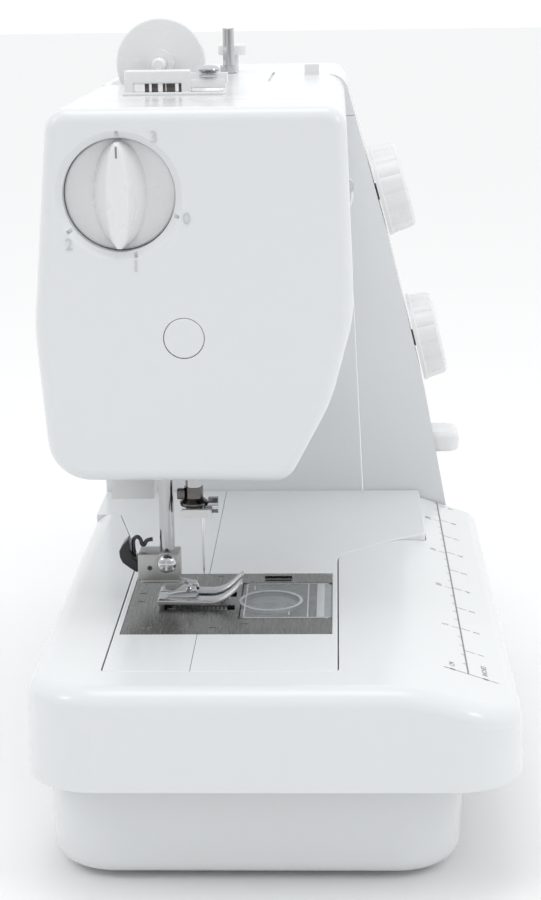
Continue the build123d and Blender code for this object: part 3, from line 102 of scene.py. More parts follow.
ROOM_DARK, ROOM_BRIGHT = 0.38, 1.06
BRIGHT_SIDE = (0.62, -0.08, 0.78)

world = bpy.data.worlds.new("studio")
world.use_nodes = True
room = world.node_tree
direction = room.nodes.new("ShaderNodeTexCoord")
along = room.nodes.new("ShaderNodeVectorMath")
along.operation = "DOT_PRODUCT"
along.inputs[1].default_value = BRIGHT_SIDE
room.links.new(direction.outputs["Generated"], along.inputs[0])
fade = room.nodes.new("ShaderNodeMapRange")
fade.inputs["From Min"].default_value, fade.inputs["From Max"].default_value = -0.70, 0.40
fade.inputs["To Min"].default_value, fade.inputs["To Max"].default_value = ROOM_DARK, ROOM_BRIGHT
room.links.new(along.outputs["Value"], fade.inputs["Value"])
room.links.new(fade.outputs["Result"], room.nodes["Background"].inputs["Strength"])
room.nodes["Background"].inputs["Color"].default_value = (0.985, 0.995, 1.0, 1.0)
bpy.context.scene.world = world
bpy.context.scene.view_settings.view_transform = "Standard"

soft_light("overhead_light", (-0.20, 0.0, 1.15), (-0.10, 0.0, 0.1), 0.5, 0.5, 1.6)
soft_light("operator_light", (-0.60, -0.95, 0.85), (0.0, 0.0, 0.12), 0.30, 0.30, 1.3)
soft_light("rear_light", (-0.55, 0.85, 0.90), (0.0, 0.0, 0.15), 0.25, 0.25, 1.0)

# ---------------------------------------------------------------- casing: white mouldings
# Every outer cover is glossy white ABS, injection moulded and clipped over the frame.
# The skin has a faint orange peel, and handling has left the gloss slightly uneven.


def input_socket(tree, name, kind, value=None):
    """One input of a shader node group."""
    socket = tree.interface.new_socket(name, in_out="INPUT", socket_type=kind)
    if value is not None:
        socket.default_value = value
    return socket


def wire(tree, start, end):
    """Joins two sockets, each given as (node, socket name)."""
    tree.links.new(start[0].outputs[start[1]], end[0].inputs[end[1]])


def build_skin_group():
    """Moulded or cast skin: patchy colour, uneven gloss, and a fine and a broad ripple."""
    tree = bpy.data.node_groups.new("skin", "ShaderNodeTree")
    for name, kind, value in (
        ("Colour", "NodeSocketColor", (0.8, 0.8, 0.8, 1.0)),
        ("Patch Colour", "NodeSocketColor", (0.75, 0.75, 0.75, 1.0)),
        ("Patch Scale", "NodeSocketFloat", 18.0),
        ("Gloss Low", "NodeSocketFloat", 0.2),
        ("Gloss High", "NodeSocketFloat", 0.3),
        ("Grain Scale", "NodeSocketFloat", 900.0),
        ("Grain Height", "NodeSocketFloat", 0.1),
    ):
        input_socket(tree, name, kind, value)
    for name, kind in (("Colour", "NodeSocketColor"), ("Roughness", "NodeSocketFloat"),
                       ("Normal", "NodeSocketVector")):
        tree.interface.new_socket(name, in_out="OUTPUT", socket_type=kind)
    given = tree.nodes.new("NodeGroupInput")
    result = tree.nodes.new("NodeGroupOutput")
    place = tree.nodes.new("ShaderNodeTexCoord")
    patches = tree.nodes.new("ShaderNodeTexNoise")
    patches.inputs["Detail"].default_value = 4.0
    wire(tree, (place, "Object"), (patches, "Vector"))
    wire(tree, (given, "Patch Scale"), (patches, "Scale"))
    tint = tree.nodes.new("ShaderNodeMix")
    tint.data_type = "RGBA"
    tree.links.new(patches.outputs["Fac"], tint.inputs["Factor"])
    tree.links.new(given.outputs["Colour"], tint.inputs[6])
    tree.links.new(given.outputs["Patch Colour"], tint.inputs[7])
    tree.links.new(tint.outputs[2], result.inputs["Colour"])
    smears = tree.nodes.new("ShaderNodeTexNoise")
    smears.inputs["Scale"].default_value = 42.0
    smears.inputs["Detail"].default_value = 6.0
    smears.inputs["Distortion"].default_value = 0.6
    wire(tree, (place, "Object"), (smears, "Vector"))
    gloss = tree.nodes.new("ShaderNodeMapRange")
    tree.links.new(smears.outputs["Fac"], gloss.inputs["Value"])
    gloss.inputs["From Min"].default_value = 0.3
    gloss.inputs["From Max"].default_value = 0.7
    wire(tree, (given, "Gloss Low"), (gloss, "To Min"))
    wire(tree, (given, "Gloss High"), (gloss, "To Max"))
    tree.links.new(gloss.outputs["Result"], result.inputs["Roughness"])
    grain = tree.nodes.new("ShaderNodeTexNoise")
    grain.inputs["Detail"].default_value = 2.0
    wire(tree, (place, "Object"), (grain, "Vector"))
    wire(tree, (given, "Grain Scale"), (grain, "Scale"))
    bump = tree.nodes.new("ShaderNodeBump")
    bump.inputs["Distance"].default_value = 0.0002
    tree.links.new(grain.outputs["Fac"], bump.inputs["Height"])
    wire(tree, (given, "Grain Height"), (bump, "Strength"))
    tree.links.new(bump.outputs["Normal"], result.inputs["Normal"])
    return tree


skin_group = build_skin_group()


def skin_material(name, colour, patch, scale, gloss, grain, height, **sockets):
    """A material whose colour, gloss and ripple come from the skin group."""
    material = new_material(name, **sockets)
    tree = material.node_tree
    skin = tree.nodes.new("ShaderNodeGroup")
    skin.node_tree = skin_group
    skin.inputs["Colour"].default_value = (*colour, 1.0)
    skin.inputs["Patch Colour"].default_value = (*patch, 1.0)
    skin.inputs["Patch Scale"].default_value = scale
    skin.inputs["Gloss Low"].default_value, skin.inputs["Gloss High"].default_value = gloss
    skin.inputs["Grain Scale"].default_value = grain
    skin.inputs["Grain Height"].default_value = height
    shader = tree.nodes["Principled BSDF"]
    wire(tree, (skin, "Colour"), (shader, "Base Color"))
    wire(tree, (skin, "Roughness"), (shader, "Roughness"))
    wire(tree, (skin, "Normal"), (shader, "Normal"))
    return material


def finish_node(name, material):
    """Gives a CAD node its finish."""
    for holder in nodes[name].material_slots:
        holder.material = material
    if not nodes[name].material_slots:
        nodes[name].data.materials.append(material)


white_shell = skin_material("white_shell", (0.775, 0.79, 0.80), (0.76, 0.775, 0.785), 9.0, (0.22, 0.27),
                            420.0, 0.12,
                            IOR=1.5, Coat_Weight=0.25, Coat_Roughness=0.08)
for cover in ("base_tray", "bed_cover_front", "bed_cover_rear", "arm_bottom_cover", "rear_cover",
              "front_panel",
              "top_cover", "face_cover", "face_cap", "extension_table"):
    finish_node(cover, white_shell)

# The four feet are black rubber pads pushed into the base tray.
rubber = skin_material("foot_rubber", (0.022, 0.022, 0.022), (0.035, 0.034, 0.033), 60.0, (0.62, 0.80),
                       2500.0, 0.5)
finish_node("rubber_feet", rubber)
finish_node("drive_belt", rubber)
finish_node("timing_belt", rubber)


# ---------------------------------------------------------------- metal, black and clear finishes
# Bars, screws and the foot are nickel-chrome plated steel; the needle plate is stainless sheet, brushed
# along its length; the frame is cast alloy. The thumb levers are black nylon, the bobbin cover clear acrylic.


def brushed_material(name, colour, streak, stretch, gloss, metallic=1.0, depth=0.12):
    """Streaked metal: fine marks drawn out along one axis change its colour and gloss and ripple its surface;
    on most metals they are brushing marks, on the bars the colour streaks are painted reflection.
    """
    material = new_material(name, Metallic=metallic)
    tree = material.node_tree
    shader = tree.nodes["Principled BSDF"]
    place = tree.nodes.new("ShaderNodeTexCoord")
    lay = tree.nodes.new("ShaderNodeMapping")
    lay.inputs["Scale"].default_value = stretch
    wire(tree, (place, "Object"), (lay, "Vector"))
    streak_noise = tree.nodes.new("ShaderNodeTexNoise")
    streak_noise.inputs["Scale"].default_value = 1.0
    streak_noise.inputs["Detail"].default_value = 5.0
    streak_noise.inputs["Roughness"].default_value = 0.7
    wire(tree, (lay, "Vector"), (streak_noise, "Vector"))
    shade = tree.nodes.new("ShaderNodeMix")
    shade.data_type = "RGBA"
    shade.inputs[6].default_value = (*colour, 1.0)
    shade.inputs[7].default_value = (*streak, 1.0)
    tree.links.new(streak_noise.outputs["Fac"], shade.inputs["Factor"])
    tree.links.new(shade.outputs[2], shader.inputs["Base Color"])
    gloss_range = tree.nodes.new("ShaderNodeMapRange")
    gloss_range.inputs["From Min"].default_value, gloss_range.inputs["From Max"].default_value = 0.35, 0.65
    gloss_range.inputs["To Min"].default_value, gloss_range.inputs["To Max"].default_value = gloss
    wire(tree, (streak_noise, "Fac"), (gloss_range, "Value"))
    tree.links.new(gloss_range.outputs["Result"], shader.inputs["Roughness"])
    bump = tree.nodes.new("ShaderNodeBump")
    bump.inputs["Distance"].default_value = 0.0001
    bump.inputs["Strength"].default_value = depth
    wire(tree, (streak_noise, "Fac"), (bump, "Height"))
    tree.links.new(bump.outputs["Normal"], shader.inputs["Normal"])
    return material


chrome = brushed_material("polished_chrome", (0.66, 0.66, 0.67), (0.56, 0.56, 0.58), (300.0, 300.0, 300.0),
                          (0.05, 0.12), depth=0.03)
# The needle and presser bars get dark and light streaks along their length: painted reflection standing in
# for the room mirrored in the round chrome.
bar_chrome_painted_reflection = brushed_material("bar_painted_reflection_streaks", (0.52, 0.52, 0.53), (0.36, 0.36, 0.37), (900.0, 900.0, 30.0),
                              (0.10, 0.22))
plate_steel = brushed_material("plate_steel", (0.31, 0.305, 0.295), (0.24, 0.235, 0.23),
                               (60.0, 1500.0, 1500.0), (0.20, 0.36), depth=0.2)
machined_steel = brushed_material("machined_steel", (0.50, 0.50, 0.50), (0.40, 0.40, 0.40),
                                  (700.0, 700.0, 700.0), (0.22, 0.40))
dark_steel = brushed_material("dark_steel", (0.10, 0.10, 0.11), (0.06, 0.06, 0.07), (500.0, 500.0, 500.0),
                              (0.30, 0.45), depth=0.2)
bush_bronze = brushed_material("bush_bronze", (0.62, 0.42, 0.20), (0.50, 0.33, 0.16), (800.0, 800.0, 800.0),
                               (0.35, 0.5))
cast_alloy = skin_material("cast_alloy", (0.50, 0.50, 0.50), (0.42, 0.42, 0.42), 30.0, (0.42, 0.60), 900.0,
                           0.8, Metallic=0.9)
white_dial = skin_material("white_dial", (0.82, 0.825, 0.83), (0.79, 0.80, 0.80), 25.0, (0.22, 0.32), 700.0,
                           0.10,
                           Coat_Weight=0.2, Coat_Roughness=0.1)
black_nylon = skin_material("black_nylon", (0.012, 0.012, 0.014), (0.022, 0.022, 0.024), 40.0, (0.28, 0.42),
                            1500.0, 0.25)
nylon = skin_material("white_nylon", (0.66, 0.63, 0.54), (0.60, 0.57, 0.49), 40.0, (0.40, 0.55), 1500.0, 0.2)
clear_cover = skin_material("clear_acrylic", (0.90, 0.93, 0.93), (0.84, 0.87, 0.88), 120.0, (0.05, 0.16),
                            260.0, 0.25,
                            Transmission_Weight=0.92, IOR=1.49)
bobbin_clear = skin_material("bobbin_acrylic", (0.86, 0.89, 0.90), (0.80, 0.84, 0.85), 90.0, (0.08, 0.18),
                             300.0, 0.2,
                             Transmission_Weight=0.75, IOR=1.49)
lamp_glass = skin_material("lamp_glass", (0.95, 0.93, 0.88), (0.90, 0.88, 0.83), 60.0, (0.25, 0.40), 500.0,
                           0.1,
                           Transmission_Weight=0.7, IOR=1.45)

for node, finish in (
    ("bed_frame", cast_alloy), ("arm_frame", cast_alloy), ("shaft_bushes", bush_bronze),
    ("casing_screws", machined_steel),
    ("needle_plate", plate_steel), ("bobbin_cover", clear_cover), ("cover_release", black_nylon),
    ("rotary_hook", machined_steel), ("bobbin_case", black_nylon), ("bobbin", bobbin_clear),
    ("feed_dog", machined_steel),
    ("needle_bar", bar_chrome_painted_reflection), ("needle_clamp", machined_steel), ("needle_clamp_screw", chrome),
    ("needle", chrome),
    ("needle_thread_guide", white_dial), ("needle_link", machined_steel), ("take_up_lever", chrome),
    ("presser_bar", bar_chrome_painted_reflection), ("presser_spring", machined_steel), ("foot_holder", machined_steel),
    ("foot_holder_screw", chrome), ("foot_release_lever", black_nylon), ("presser_foot", chrome),
    ("presser_lifter", white_dial), ("main_shaft", machined_steel), ("main_pulley", nylon),
    ("handwheel", white_dial),
    ("motor", dark_steel), ("motor_pulley", machined_steel), ("lower_shaft", machined_steel),
    ("pressure_dial", white_dial), ("tension_wheel", white_dial), ("upper_dial", white_dial),
    ("pattern_cam", nylon),
    ("lower_dial", white_dial), ("reverse_lever", white_dial), ("power_switch", black_nylon),
    ("power_inlet", black_nylon),
    ("spool_pin", white_dial), ("spool_cap", white_dial), ("thread_guides", white_dial),
    ("winder_tension_disc", chrome), ("winder_spindle", chrome), ("winder_stopper", white_dial),
    ("lamp_bulb", lamp_glass), ("lamp_socket", bush_bronze),
):
    finish_node(node, finish)

# ---------------------------------------------------------------- stitch dials
# Two white knobs on the sloped panel, each a fluted cap with a rounded shoulder over a plain skirt.
# The dial pushes on to the switch shaft, so it turns with it.


def turned(name, centre, axis, outline, steps=72):
    """A round piece: its outline, as (radius, height) pairs along the axis, is spun once round the axis."""
    axis = Vector(axis).normalized()
    side = axis.orthogonal().normalized()
    bpy.ops.object.select_all(action="DESELECT")
    bpy.ops.mesh.primitive_circle_add(vertices=len(outline), radius=0.01)
    piece = bpy.context.object
    piece.name = name
    for vertex, (radius, height) in zip(piece.data.vertices, outline):
        vertex.co = Vector(centre) + side * radius * MM + axis * height * MM
    bpy.ops.object.mode_set(mode="EDIT")
    bpy.ops.mesh.select_all(action="SELECT")
    bpy.ops.mesh.spin(steps=steps, angle=math.tau, center=centre, axis=axis)
    bpy.ops.mesh.select_all(action="SELECT")
    bpy.ops.mesh.remove_doubles(threshold=0.000005)
    bpy.ops.mesh.normals_make_consistent(inside=False)
    bpy.ops.object.mode_set(mode="OBJECT")
    return piece


def smooth_edges(piece, angle=35.0):
    """Smooth shading that stays crisp over sharp edges."""
    bpy.ops.object.select_all(action="DESELECT")
    piece.select_set(True)
    bpy.context.view_layer.objects.active = piece
    bpy.ops.object.shade_smooth_by_angle(angle=math.radians(angle))


def rounded(piece, width, segments=3, angle=35.0):
    """Rounds the sharp edges of a finished shape."""
    bpy.ops.object.select_all(action="DESELECT")
    piece.select_set(True)
    bpy.context.view_layer.objects.active = piece
    bevel = piece.modifiers.new("edge", "BEVEL")
    bevel.width, bevel.segments = width * MM, segments
    bevel.limit_method, bevel.angle_limit = "ANGLE", math.radians(angle)
    bpy.ops.object.modifier_apply(modifier="edge")
    smooth_edges(piece, angle)


def place_on(piece, material, body, slot, *replaced):
    """Finish and body of a new piece, and the CAD nodes it stands for, which it hides; the slot is not used.
    """
    piece.data.materials.clear()
    piece.data.materials.append(material)
    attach(piece, body)
    if replaced:
        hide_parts(*replaced)
    return piece


DIAL_RIBS = 16
RIB_DEPTH = 0.45
panel_points = ((-26.8, 275.0), (-47.2, 199.8), (-63.5, 131.7), (-74.5, 72.0))


def panel_y(z):
    """The front panel's surface at a height, in millimetres."""
    for (y1, z1), (y0, z0) in zip(panel_points, panel_points[1:]):
        if z >= z0:
            return y0 + (y1 - y0) * (z - z0) / (z1 - z0)
    return panel_points[-1][0]


def dial_axis(z, span):
    """Foot and direction of a dial's axis on the sloped panel."""
    above = Vector((90.0, panel_y(z + span), z + span))
    below = Vector((90.0, panel_y(z - span), z - span))
    slope = (above - below).normalized()
    return (above + below) / 2 * MM, Vector((1.0, 0.0, 0.0)).cross(slope)


def stitch_dial(name, z, radius, height, shaft):
    """A knob: plain skirt, ribbed rim with a rounded shoulder, slightly crowned face and its shaft."""
    foot, axis = dial_axis(z, radius)
    ribs = DIAL_RIBS * 6
    outline = [(0, -shaft), (4, -shaft), (4, 0.9), (radius, 0.9), (radius, 2.6), (radius - 0.5, 3.2),
               (radius - 1.2, 0.9 + height - 3.0), (radius - 1.7, 0.9 + height - 1.4),
               (radius - 3.0, 0.9 + height - 0.4),
               (radius - 5.0, 0.9 + height), (radius * 0.5, 0.9 + height - 0.5), (0, 0.9 + height - 0.7)]
    knob = turned(name, foot, axis, outline, steps=ribs)
    side = axis.orthogonal().normalized()
    other = axis.cross(side)
    for vertex in knob.data.vertices:
        arm = vertex.co - foot
        up = arm.dot(axis) / MM
        flat = arm - axis * arm.dot(axis)
        if 3.0 < up < height - 0.2 and flat.length > (radius - 2.5) * MM:
            turn = math.atan2(flat.dot(other), flat.dot(side)) * DIAL_RIBS / math.tau
            near = abs((turn + 0.5) % 1.0 - 0.5)
            if near < 0.12:
                vertex.co -= flat.normalized() * RIB_DEPTH * MM
    smooth_edges(knob, 28.0)
    return knob


place_on(stitch_dial("upper_stitch_dial", 219.0, 21.5, 13.6, 26), white_dial, "upper_dial", "dial_plastic",
         "upper_dial")
place_on(stitch_dial("lower_stitch_dial", 149.0, 21.0, 12.1, 14), white_dial, "lower_dial", "dial_plastic",
         "lower_dial")

# ---------------------------------------------------------------- presser pressure dial and its scale
# A white dial in a round recess of the face cover, turned by a lens-shaped grip with a dark index line.
# The numbers of its scale are moulded on the cover, a little proud of it; their grey colour is painted shade.

DIAL_CENTRE = Vector((-0.137, 0.055, 0.244))
GRIP_LENGTH, GRIP_WIDTH = 19.3, 6.0


def lens_ring(half_length, half_width, x, blunt):
    """Points round a lens-shaped outline that faces the end of the machine."""
    ring = []
    count = 16
    for i in range(count + 1):
        t = -1 + 2 * i / count
        ring.append((half_width * (1 - t * t) ** 0.62 + blunt, t * half_length))
    ring = ring + [(-w, h) for w, h in reversed(ring)]
    return [Vector((x * MM, w * MM, h * MM)) for w, h in ring]


def loft(name, rings, close_start=True, close_end=True):
    """A closed skin through rings of the same number of points."""
    count = len(rings[0])
    bpy.ops.object.select_all(action="DESELECT")
    bpy.ops.mesh.primitive_circle_add(vertices=count, radius=0.01)
    piece = bpy.context.object
    piece.name = name
    for vertex, point in zip(piece.data.vertices, rings[0]):
        vertex.co = point
    bpy.ops.object.mode_set(mode="EDIT")
    shape = bmesh.from_edit_mesh(piece.data)
    shape.verts.ensure_lookup_table()
    last = [shape.verts[i] for i in range(count)]
    if close_start:
        shape.faces.new(last)
    for ring in rings[1:]:
        row = [shape.verts.new(point) for point in ring]
        for i in range(count):
            j = (i + 1) % count
            shape.faces.new((last[i], last[j], row[j], row[i]))
        last = row
    if close_end:
        shape.faces.new(last)
    bmesh.update_edit_mesh(piece.data)
    bpy.ops.mesh.select_all(action="SELECT")
    bpy.ops.mesh.remove_doubles(threshold=0.000002)
    bpy.ops.mesh.normals_make_consistent(inside=False)
    bpy.ops.object.mode_set(mode="OBJECT")
    return piece


def joined(name, parts):
    """Several meshes as one piece."""
    bpy.ops.object.select_all(action="DESELECT")
    for part in parts:
        part.select_set(True)
    bpy.context.view_layer.objects.active = parts[0]
    if len(parts) > 1:
        bpy.ops.object.join()
    parts[0].name = name
    return parts[0]


dial_disc = turned("dial_disc", DIAL_CENTRE + Vector((0.0075, 0, 0)), (-1, 0, 0),
                   [(0, -14), (4, -14), (4, -2.2), (20.2, -2.2), (20.2, 0.0), (19.6, 0.5), (0, 0.5)],
                   steps=96)
grip_rings = []
for x, length, width, blunt in ((7.6, GRIP_LENGTH, GRIP_WIDTH + 3.2, 1.2),
                                (5.0, GRIP_LENGTH, GRIP_WIDTH + 1.0, 1.1),
                                (1.5, GRIP_LENGTH - 0.1, GRIP_WIDTH - 1.2, 0.9),
                                (-1.6, GRIP_LENGTH - 0.4, GRIP_WIDTH - 2.4, 0.8),
                                (-2.6, GRIP_LENGTH - 0.9, GRIP_WIDTH - 3.0, 0.5)):
    grip_rings.append([DIAL_CENTRE + point for point in lens_ring(length, width, x, blunt)])
grip = loft("dial_grip", grip_rings)
rounded(grip, 0.25, 2, 40)
pressure_knob = joined("pressure_knob", [dial_disc, grip])
smooth_edges(pressure_knob, 32)
place_on(pressure_knob, white_dial, "pressure_dial", "dial_plastic", "pressure_dial")
# Flat black for the needle plate's stamped marks and the ankle's hole: painted shade standing in for the dark
# inside their hollows.
hollow_shade_black = skin_material("painted_hollow_shade", (0.03, 0.03, 0.03), (0.07, 0.07, 0.07), 300.0, (0.45, 0.6), 2000.0, 0.1)
grey_ink = skin_material("grey_ink", (0.20, 0.20, 0.20), (0.30, 0.30, 0.30), 500.0, (0.5, 0.6), 2000.0, 0.1)


def bar_piece(name, low, high):
    """A straight bar between two corners, in millimetres."""
    bpy.ops.object.select_all(action="DESELECT")
    centre = [(a + b) / 2 * MM for a, b in zip(low, high)]
    bpy.ops.mesh.primitive_cube_add(size=1.0, location=centre)
    piece = bpy.context.object
    piece.name = name
    piece.scale = [(b - a) * MM for a, b in zip(low, high)]
    bpy.ops.object.transform_apply(location=True, rotation=True, scale=True)
    return piece


index_line = bar_piece("dial_index", (-139.72, 54.65, 257.6), (-139.45, 55.35, 261.8))
rounded(index_line, 0.1, 2)
place_on(index_line, grey_ink, "pressure_dial", "dial_plastic")


def lettering(name, text, size, depth, turn, place):
    """Small moulded or printed figures: text turned and set down at its place, as a mesh."""
    bpy.ops.object.select_all(action="DESELECT")
    bpy.ops.object.text_add()
    figure = bpy.context.object
    figure.data.body = text
    figure.data.size = size * MM
    figure.data.extrude = depth * MM
    figure.data.resolution_u = 3
    figure.data.align_x, figure.data.align_y = "CENTER", "CENTER"
    bpy.ops.object.convert(target="MESH")
    figure = bpy.context.object
    figure.name = name
    figure.data.transform(Matrix.Translation([v * MM for v in place]) @ turn)
    return figure


face_turn = Matrix(((0, 0, -1, 0), (-1, 0, 0, 0), (0, 1, 0, 0), (0, 0, 0, 1)))
figures = [lettering("figure_" + text, text, 6.0, 0.22, face_turn, (-137.1, y, z))
           for text, y, z in (("3", 41.6, 264.6), ("0", 30.6, 235.5), ("1", 49.3, 218.5), ("2", 73.3, 226.5))]
scale_figures = joined("pressure_scale_figures", figures)
# The figures are the cover's own white plastic; the grey given to them here is painted shade.
scale_figures_painted_shade = skin_material("scale_figures_painted_shade", (0.62, 0.635, 0.645), (0.56, 0.575, 0.585), 200.0,
                                (0.30, 0.40), 900.0, 0.2)
place_on(scale_figures, scale_figures_painted_shade, "frame", "white_plastic")

# ---------------------------------------------------------------- ruler printed on the table
# A fine grey line with inch ticks on the operator's side and centimetre figures on the inner side.
# It is pad printed on the sloping edge of the extension table.

RULER_ZERO, RULER_END, RULER_Y = -168.0, 71.0, -70.0
INCH, CENTIMETRE = 25.4, 10.0
INCH_ROW, CENTIMETRE_ROW = RULER_Y - 6.4, RULER_Y + 5.6
FIGURE_SIZE, WORD_SIZE = 3.6, 3.0
SLOPE_START_Y, SLOPE_START_Z, SLOPE_FALL = -64.02, 75.76, 0.3346
INK_LIFT, INK_THICKNESS = 0.03, 0.05


def slope_z(y):
    """The height of the table's sloping edge at a depth, in millimetres."""
    return SLOPE_START_Z - (SLOPE_START_Y - y) * SLOPE_FALL


def slope_mark(x_range, y_range):
    """A printed stroke that lies on the slope."""
    mark = bar_piece("mark", (x_range[0], y_range[0], INK_LIFT),
                     (x_range[1], y_range[1], INK_LIFT + INK_THICKNESS))
    for vertex in mark.data.vertices:
        vertex.co.z += slope_z(vertex.co.y / MM) * MM
    return mark


slope_turn = Matrix.Rotation(math.atan(SLOPE_FALL), 4, "X")
marks = [slope_mark((RULER_ZERO, RULER_END), (RULER_Y - 0.3, RULER_Y + 0.3)),
         slope_mark((RULER_ZERO - 0.15, RULER_ZERO + 0.15), (RULER_Y - 11.0, RULER_Y + 9.0))]
for inch in range(1, 10):
    x = RULER_ZERO + INCH * inch
    marks.append(slope_mark((x - 0.12, x + 0.12), (RULER_Y - 4.0, RULER_Y - 0.3)))
for centimetre in range(1, 24):
    x = RULER_ZERO + CENTIMETRE * centimetre
    reach = 3.2 if centimetre % 5 == 0 else 1.6
    marks.append(slope_mark((x - 0.09, x + 0.09), (RULER_Y + 0.3, RULER_Y + reach)))
ruler_text = [(str(n), FIGURE_SIZE, RULER_ZERO + INCH * n, INCH_ROW) for n in range(1, 10)]
ruler_text += [(str(n), FIGURE_SIZE, RULER_ZERO + CENTIMETRE * n, CENTIMETRE_ROW) for n in (5, 10, 15, 20)]
ruler_text += [("0", FIGURE_SIZE, RULER_ZERO, INCH_ROW), ("0", FIGURE_SIZE, RULER_ZERO, CENTIMETRE_ROW),
               ("CM", WORD_SIZE, RULER_ZERO + 5.4, CENTIMETRE_ROW),
               ("INCHES", WORD_SIZE, RULER_ZERO + 8.6, INCH_ROW)]
for text, size, x, y in ruler_text:
    marks.append(lettering("figure", text, size, 0.03, slope_turn, (x, y, slope_z(y) + INK_LIFT)))
ruler = joined("table_ruler", marks)
place_on(ruler, grey_ink, "table", "black_plastic")

# ---------------------------------------------------------------- needle plate guide lines
# Short lines and small holes stamped through the stainless plate; the two screws that hold it are not drawn.

PLATE_TOP = 80.0
# The marks are flat black bars on the plate's top: painted shade standing in for the hollows of the stamped
# lines and holes.
stamps = []
for x, y in ((-102.4, 54.7), (-134.2, 24.5), (-69.6, 25.0), (-118.2, 29.3), (-85.3, 29.5), (-129.6, 12.8),
             (-92.0, 55.0)):
    stamps.append(bar_piece("stamp", (x - 0.35, y - 1.4, PLATE_TOP + 0.01),
                            (x + 0.35, y + 1.4, PLATE_TOP + 0.05)))
plate_marks = joined("plate_marks", stamps)
place_on(plate_marks, hollow_shade_black, "frame", "black_plastic")

# ---------------------------------------------------------------- bobbin cover moulding
# The clear cover has a raised rim, a round window over the bobbin and a finger rib near the operator's edge.

window = turned("cover_window", Vector((-0.1015, 0.0035, 0.0)), (0, 0, 1),
                [(11.4, 79.9), (11.4, 80.18), (12.0, 80.24), (12.6, 80.18), (12.6, 79.9)], steps=64)
ribs = [window]
for low, high in (((-122.5, -17.6, 79.9), (-80.5, -14.6, 80.35)),
                  ((-122.5, -11.4, 79.9), (-80.5, -10.9, 80.2)),
                  ((-122.9, -19.2, 79.9), (-122.3, 13.8, 80.2)), ((-80.7, -19.2, 79.9), (-80.1, 13.8, 80.2)),
                  ((-122.9, 13.2, 79.9), (-80.1, 13.8, 80.2)), ((-119.0, -4.2, 79.9), (-115.6, -3.7, 80.2)),
                  ((-88.0, 10.2, 79.9), (-83.0, 10.7, 80.2))):
    rib = bar_piece("rib", low, high)
    rounded(rib, 0.08, 2)
    ribs.append(rib)
cover_moulding = joined("cover_moulding", ribs)
smooth_edges(cover_moulding)
frosted = skin_material("frosted_acrylic", (0.80, 0.82, 0.83), (0.74, 0.76, 0.77), 200.0, (0.30, 0.45), 500.0,
                        0.2,
                        Transmission_Weight=0.35, IOR=1.49)
place_on(cover_moulding, frosted, "bobbin_cover", "clear_cover")

# ---------------------------------------------------------------- presser foot
# A zigzag foot: two turned-up toes joined by a flat sole, with side walls that clip on to the ankle's pin.
# It is pressed from sheet steel and chrome plated.

FOOT_X = -102.0
SOLE_Z = 81.5


def toe_shape(t):
    """Centre line of the sole from heel (0) to tip (1), as (y, z) in millimetres."""
    y = 47.5 - 33.3 * t
    rise = max(0.0, (27.5 - y) / 13.3)
    return y, SOLE_Z + 8.2 * rise ** 2.1


def foot_strip(name, inner, outer):
    """One toe of the sole, from heel to tip, a little narrower and thinner at the tip."""
    rings = []
    steps = 22
    for i in range(steps + 1):
        t = i / steps
        y, z = toe_shape(t)
        before, after = toe_shape(max(0.0, t - 0.02)), toe_shape(min(1.0, t + 0.02))
        tilt = math.atan2(after[1] - before[1], before[0] - after[0])
        thick = 1.9 - 0.9 * t
        narrow = 0.0 if t < 0.75 else 1.6 * ((t - 0.75) / 0.25) ** 2
        side = 1.0 if outer > inner else -1.0
        low, high = inner + side * narrow * 0.3, outer - side * narrow
        up = (math.sin(tilt) * thick, math.cos(tilt) * thick)
        rings.append([Vector((FOOT_X + a, y + b, z + c)) * MM for a, b, c in (
            (low, 0.0, 0.0), (high, 0.0, 0.0), (high, up[0], up[1]), (low, up[0], up[1]))])
    strip = loft(name, rings)
    rounded(strip, 0.35, 3)
    return strip


def side_plate(name, outline, x_range):
    """A flat plate across the machine, its (y, z) outline given in millimetres."""
    return loft(name, [[Vector((x, y, z)) * MM for y, z in outline] for x in x_range])


foot_parts = [foot_strip("toe_outer", -2.2, -9.6), foot_strip("toe_inner", 2.2, 9.6)]
bridge = side_plate("bridge", [(47.6, 81.5), (35.4, 81.5), (35.4, 83.2), (47.6, 83.2)],
                    (FOOT_X - 2.6, FOOT_X + 2.6))
foot_parts.append(bridge)
for x in (FOOT_X - 4.6, FOOT_X + 2.9):
    wall = side_plate("wall", [(44.2, 83.0), (33.0, 83.0), (31.6, 84.4), (33.0, 87.4), (37.8, 88.4),
                               (41.5, 85.8), (44.4, 84.6)],
                      (x, x + 1.5))
    rounded(wall, 0.3, 2)
    foot_parts.append(wall)
foot_parts.append(turned("pin", Vector((FOOT_X, 35.5, 86.2)) * MM, (1, 0, 0),
                         [(0, -5.2), (0.8, -5.2), (1.2, -4.8), (1.2, 4.8), (0.8, 5.2), (0, 5.2)], steps=24))
zigzag_foot = joined("zigzag_foot", foot_parts)
smooth_edges(zigzag_foot, 40)
place_on(zigzag_foot, chrome, "presser_foot", "chrome", "presser_foot")

# ---------------------------------------------------------------- ankle, its screw and the release lever
# The ankle is a milled steel block on the presser bar. A cross-head screw clamps it, a bent wire spring sits
# on top, and a black nylon thumb lever behind it lets the foot drop off.

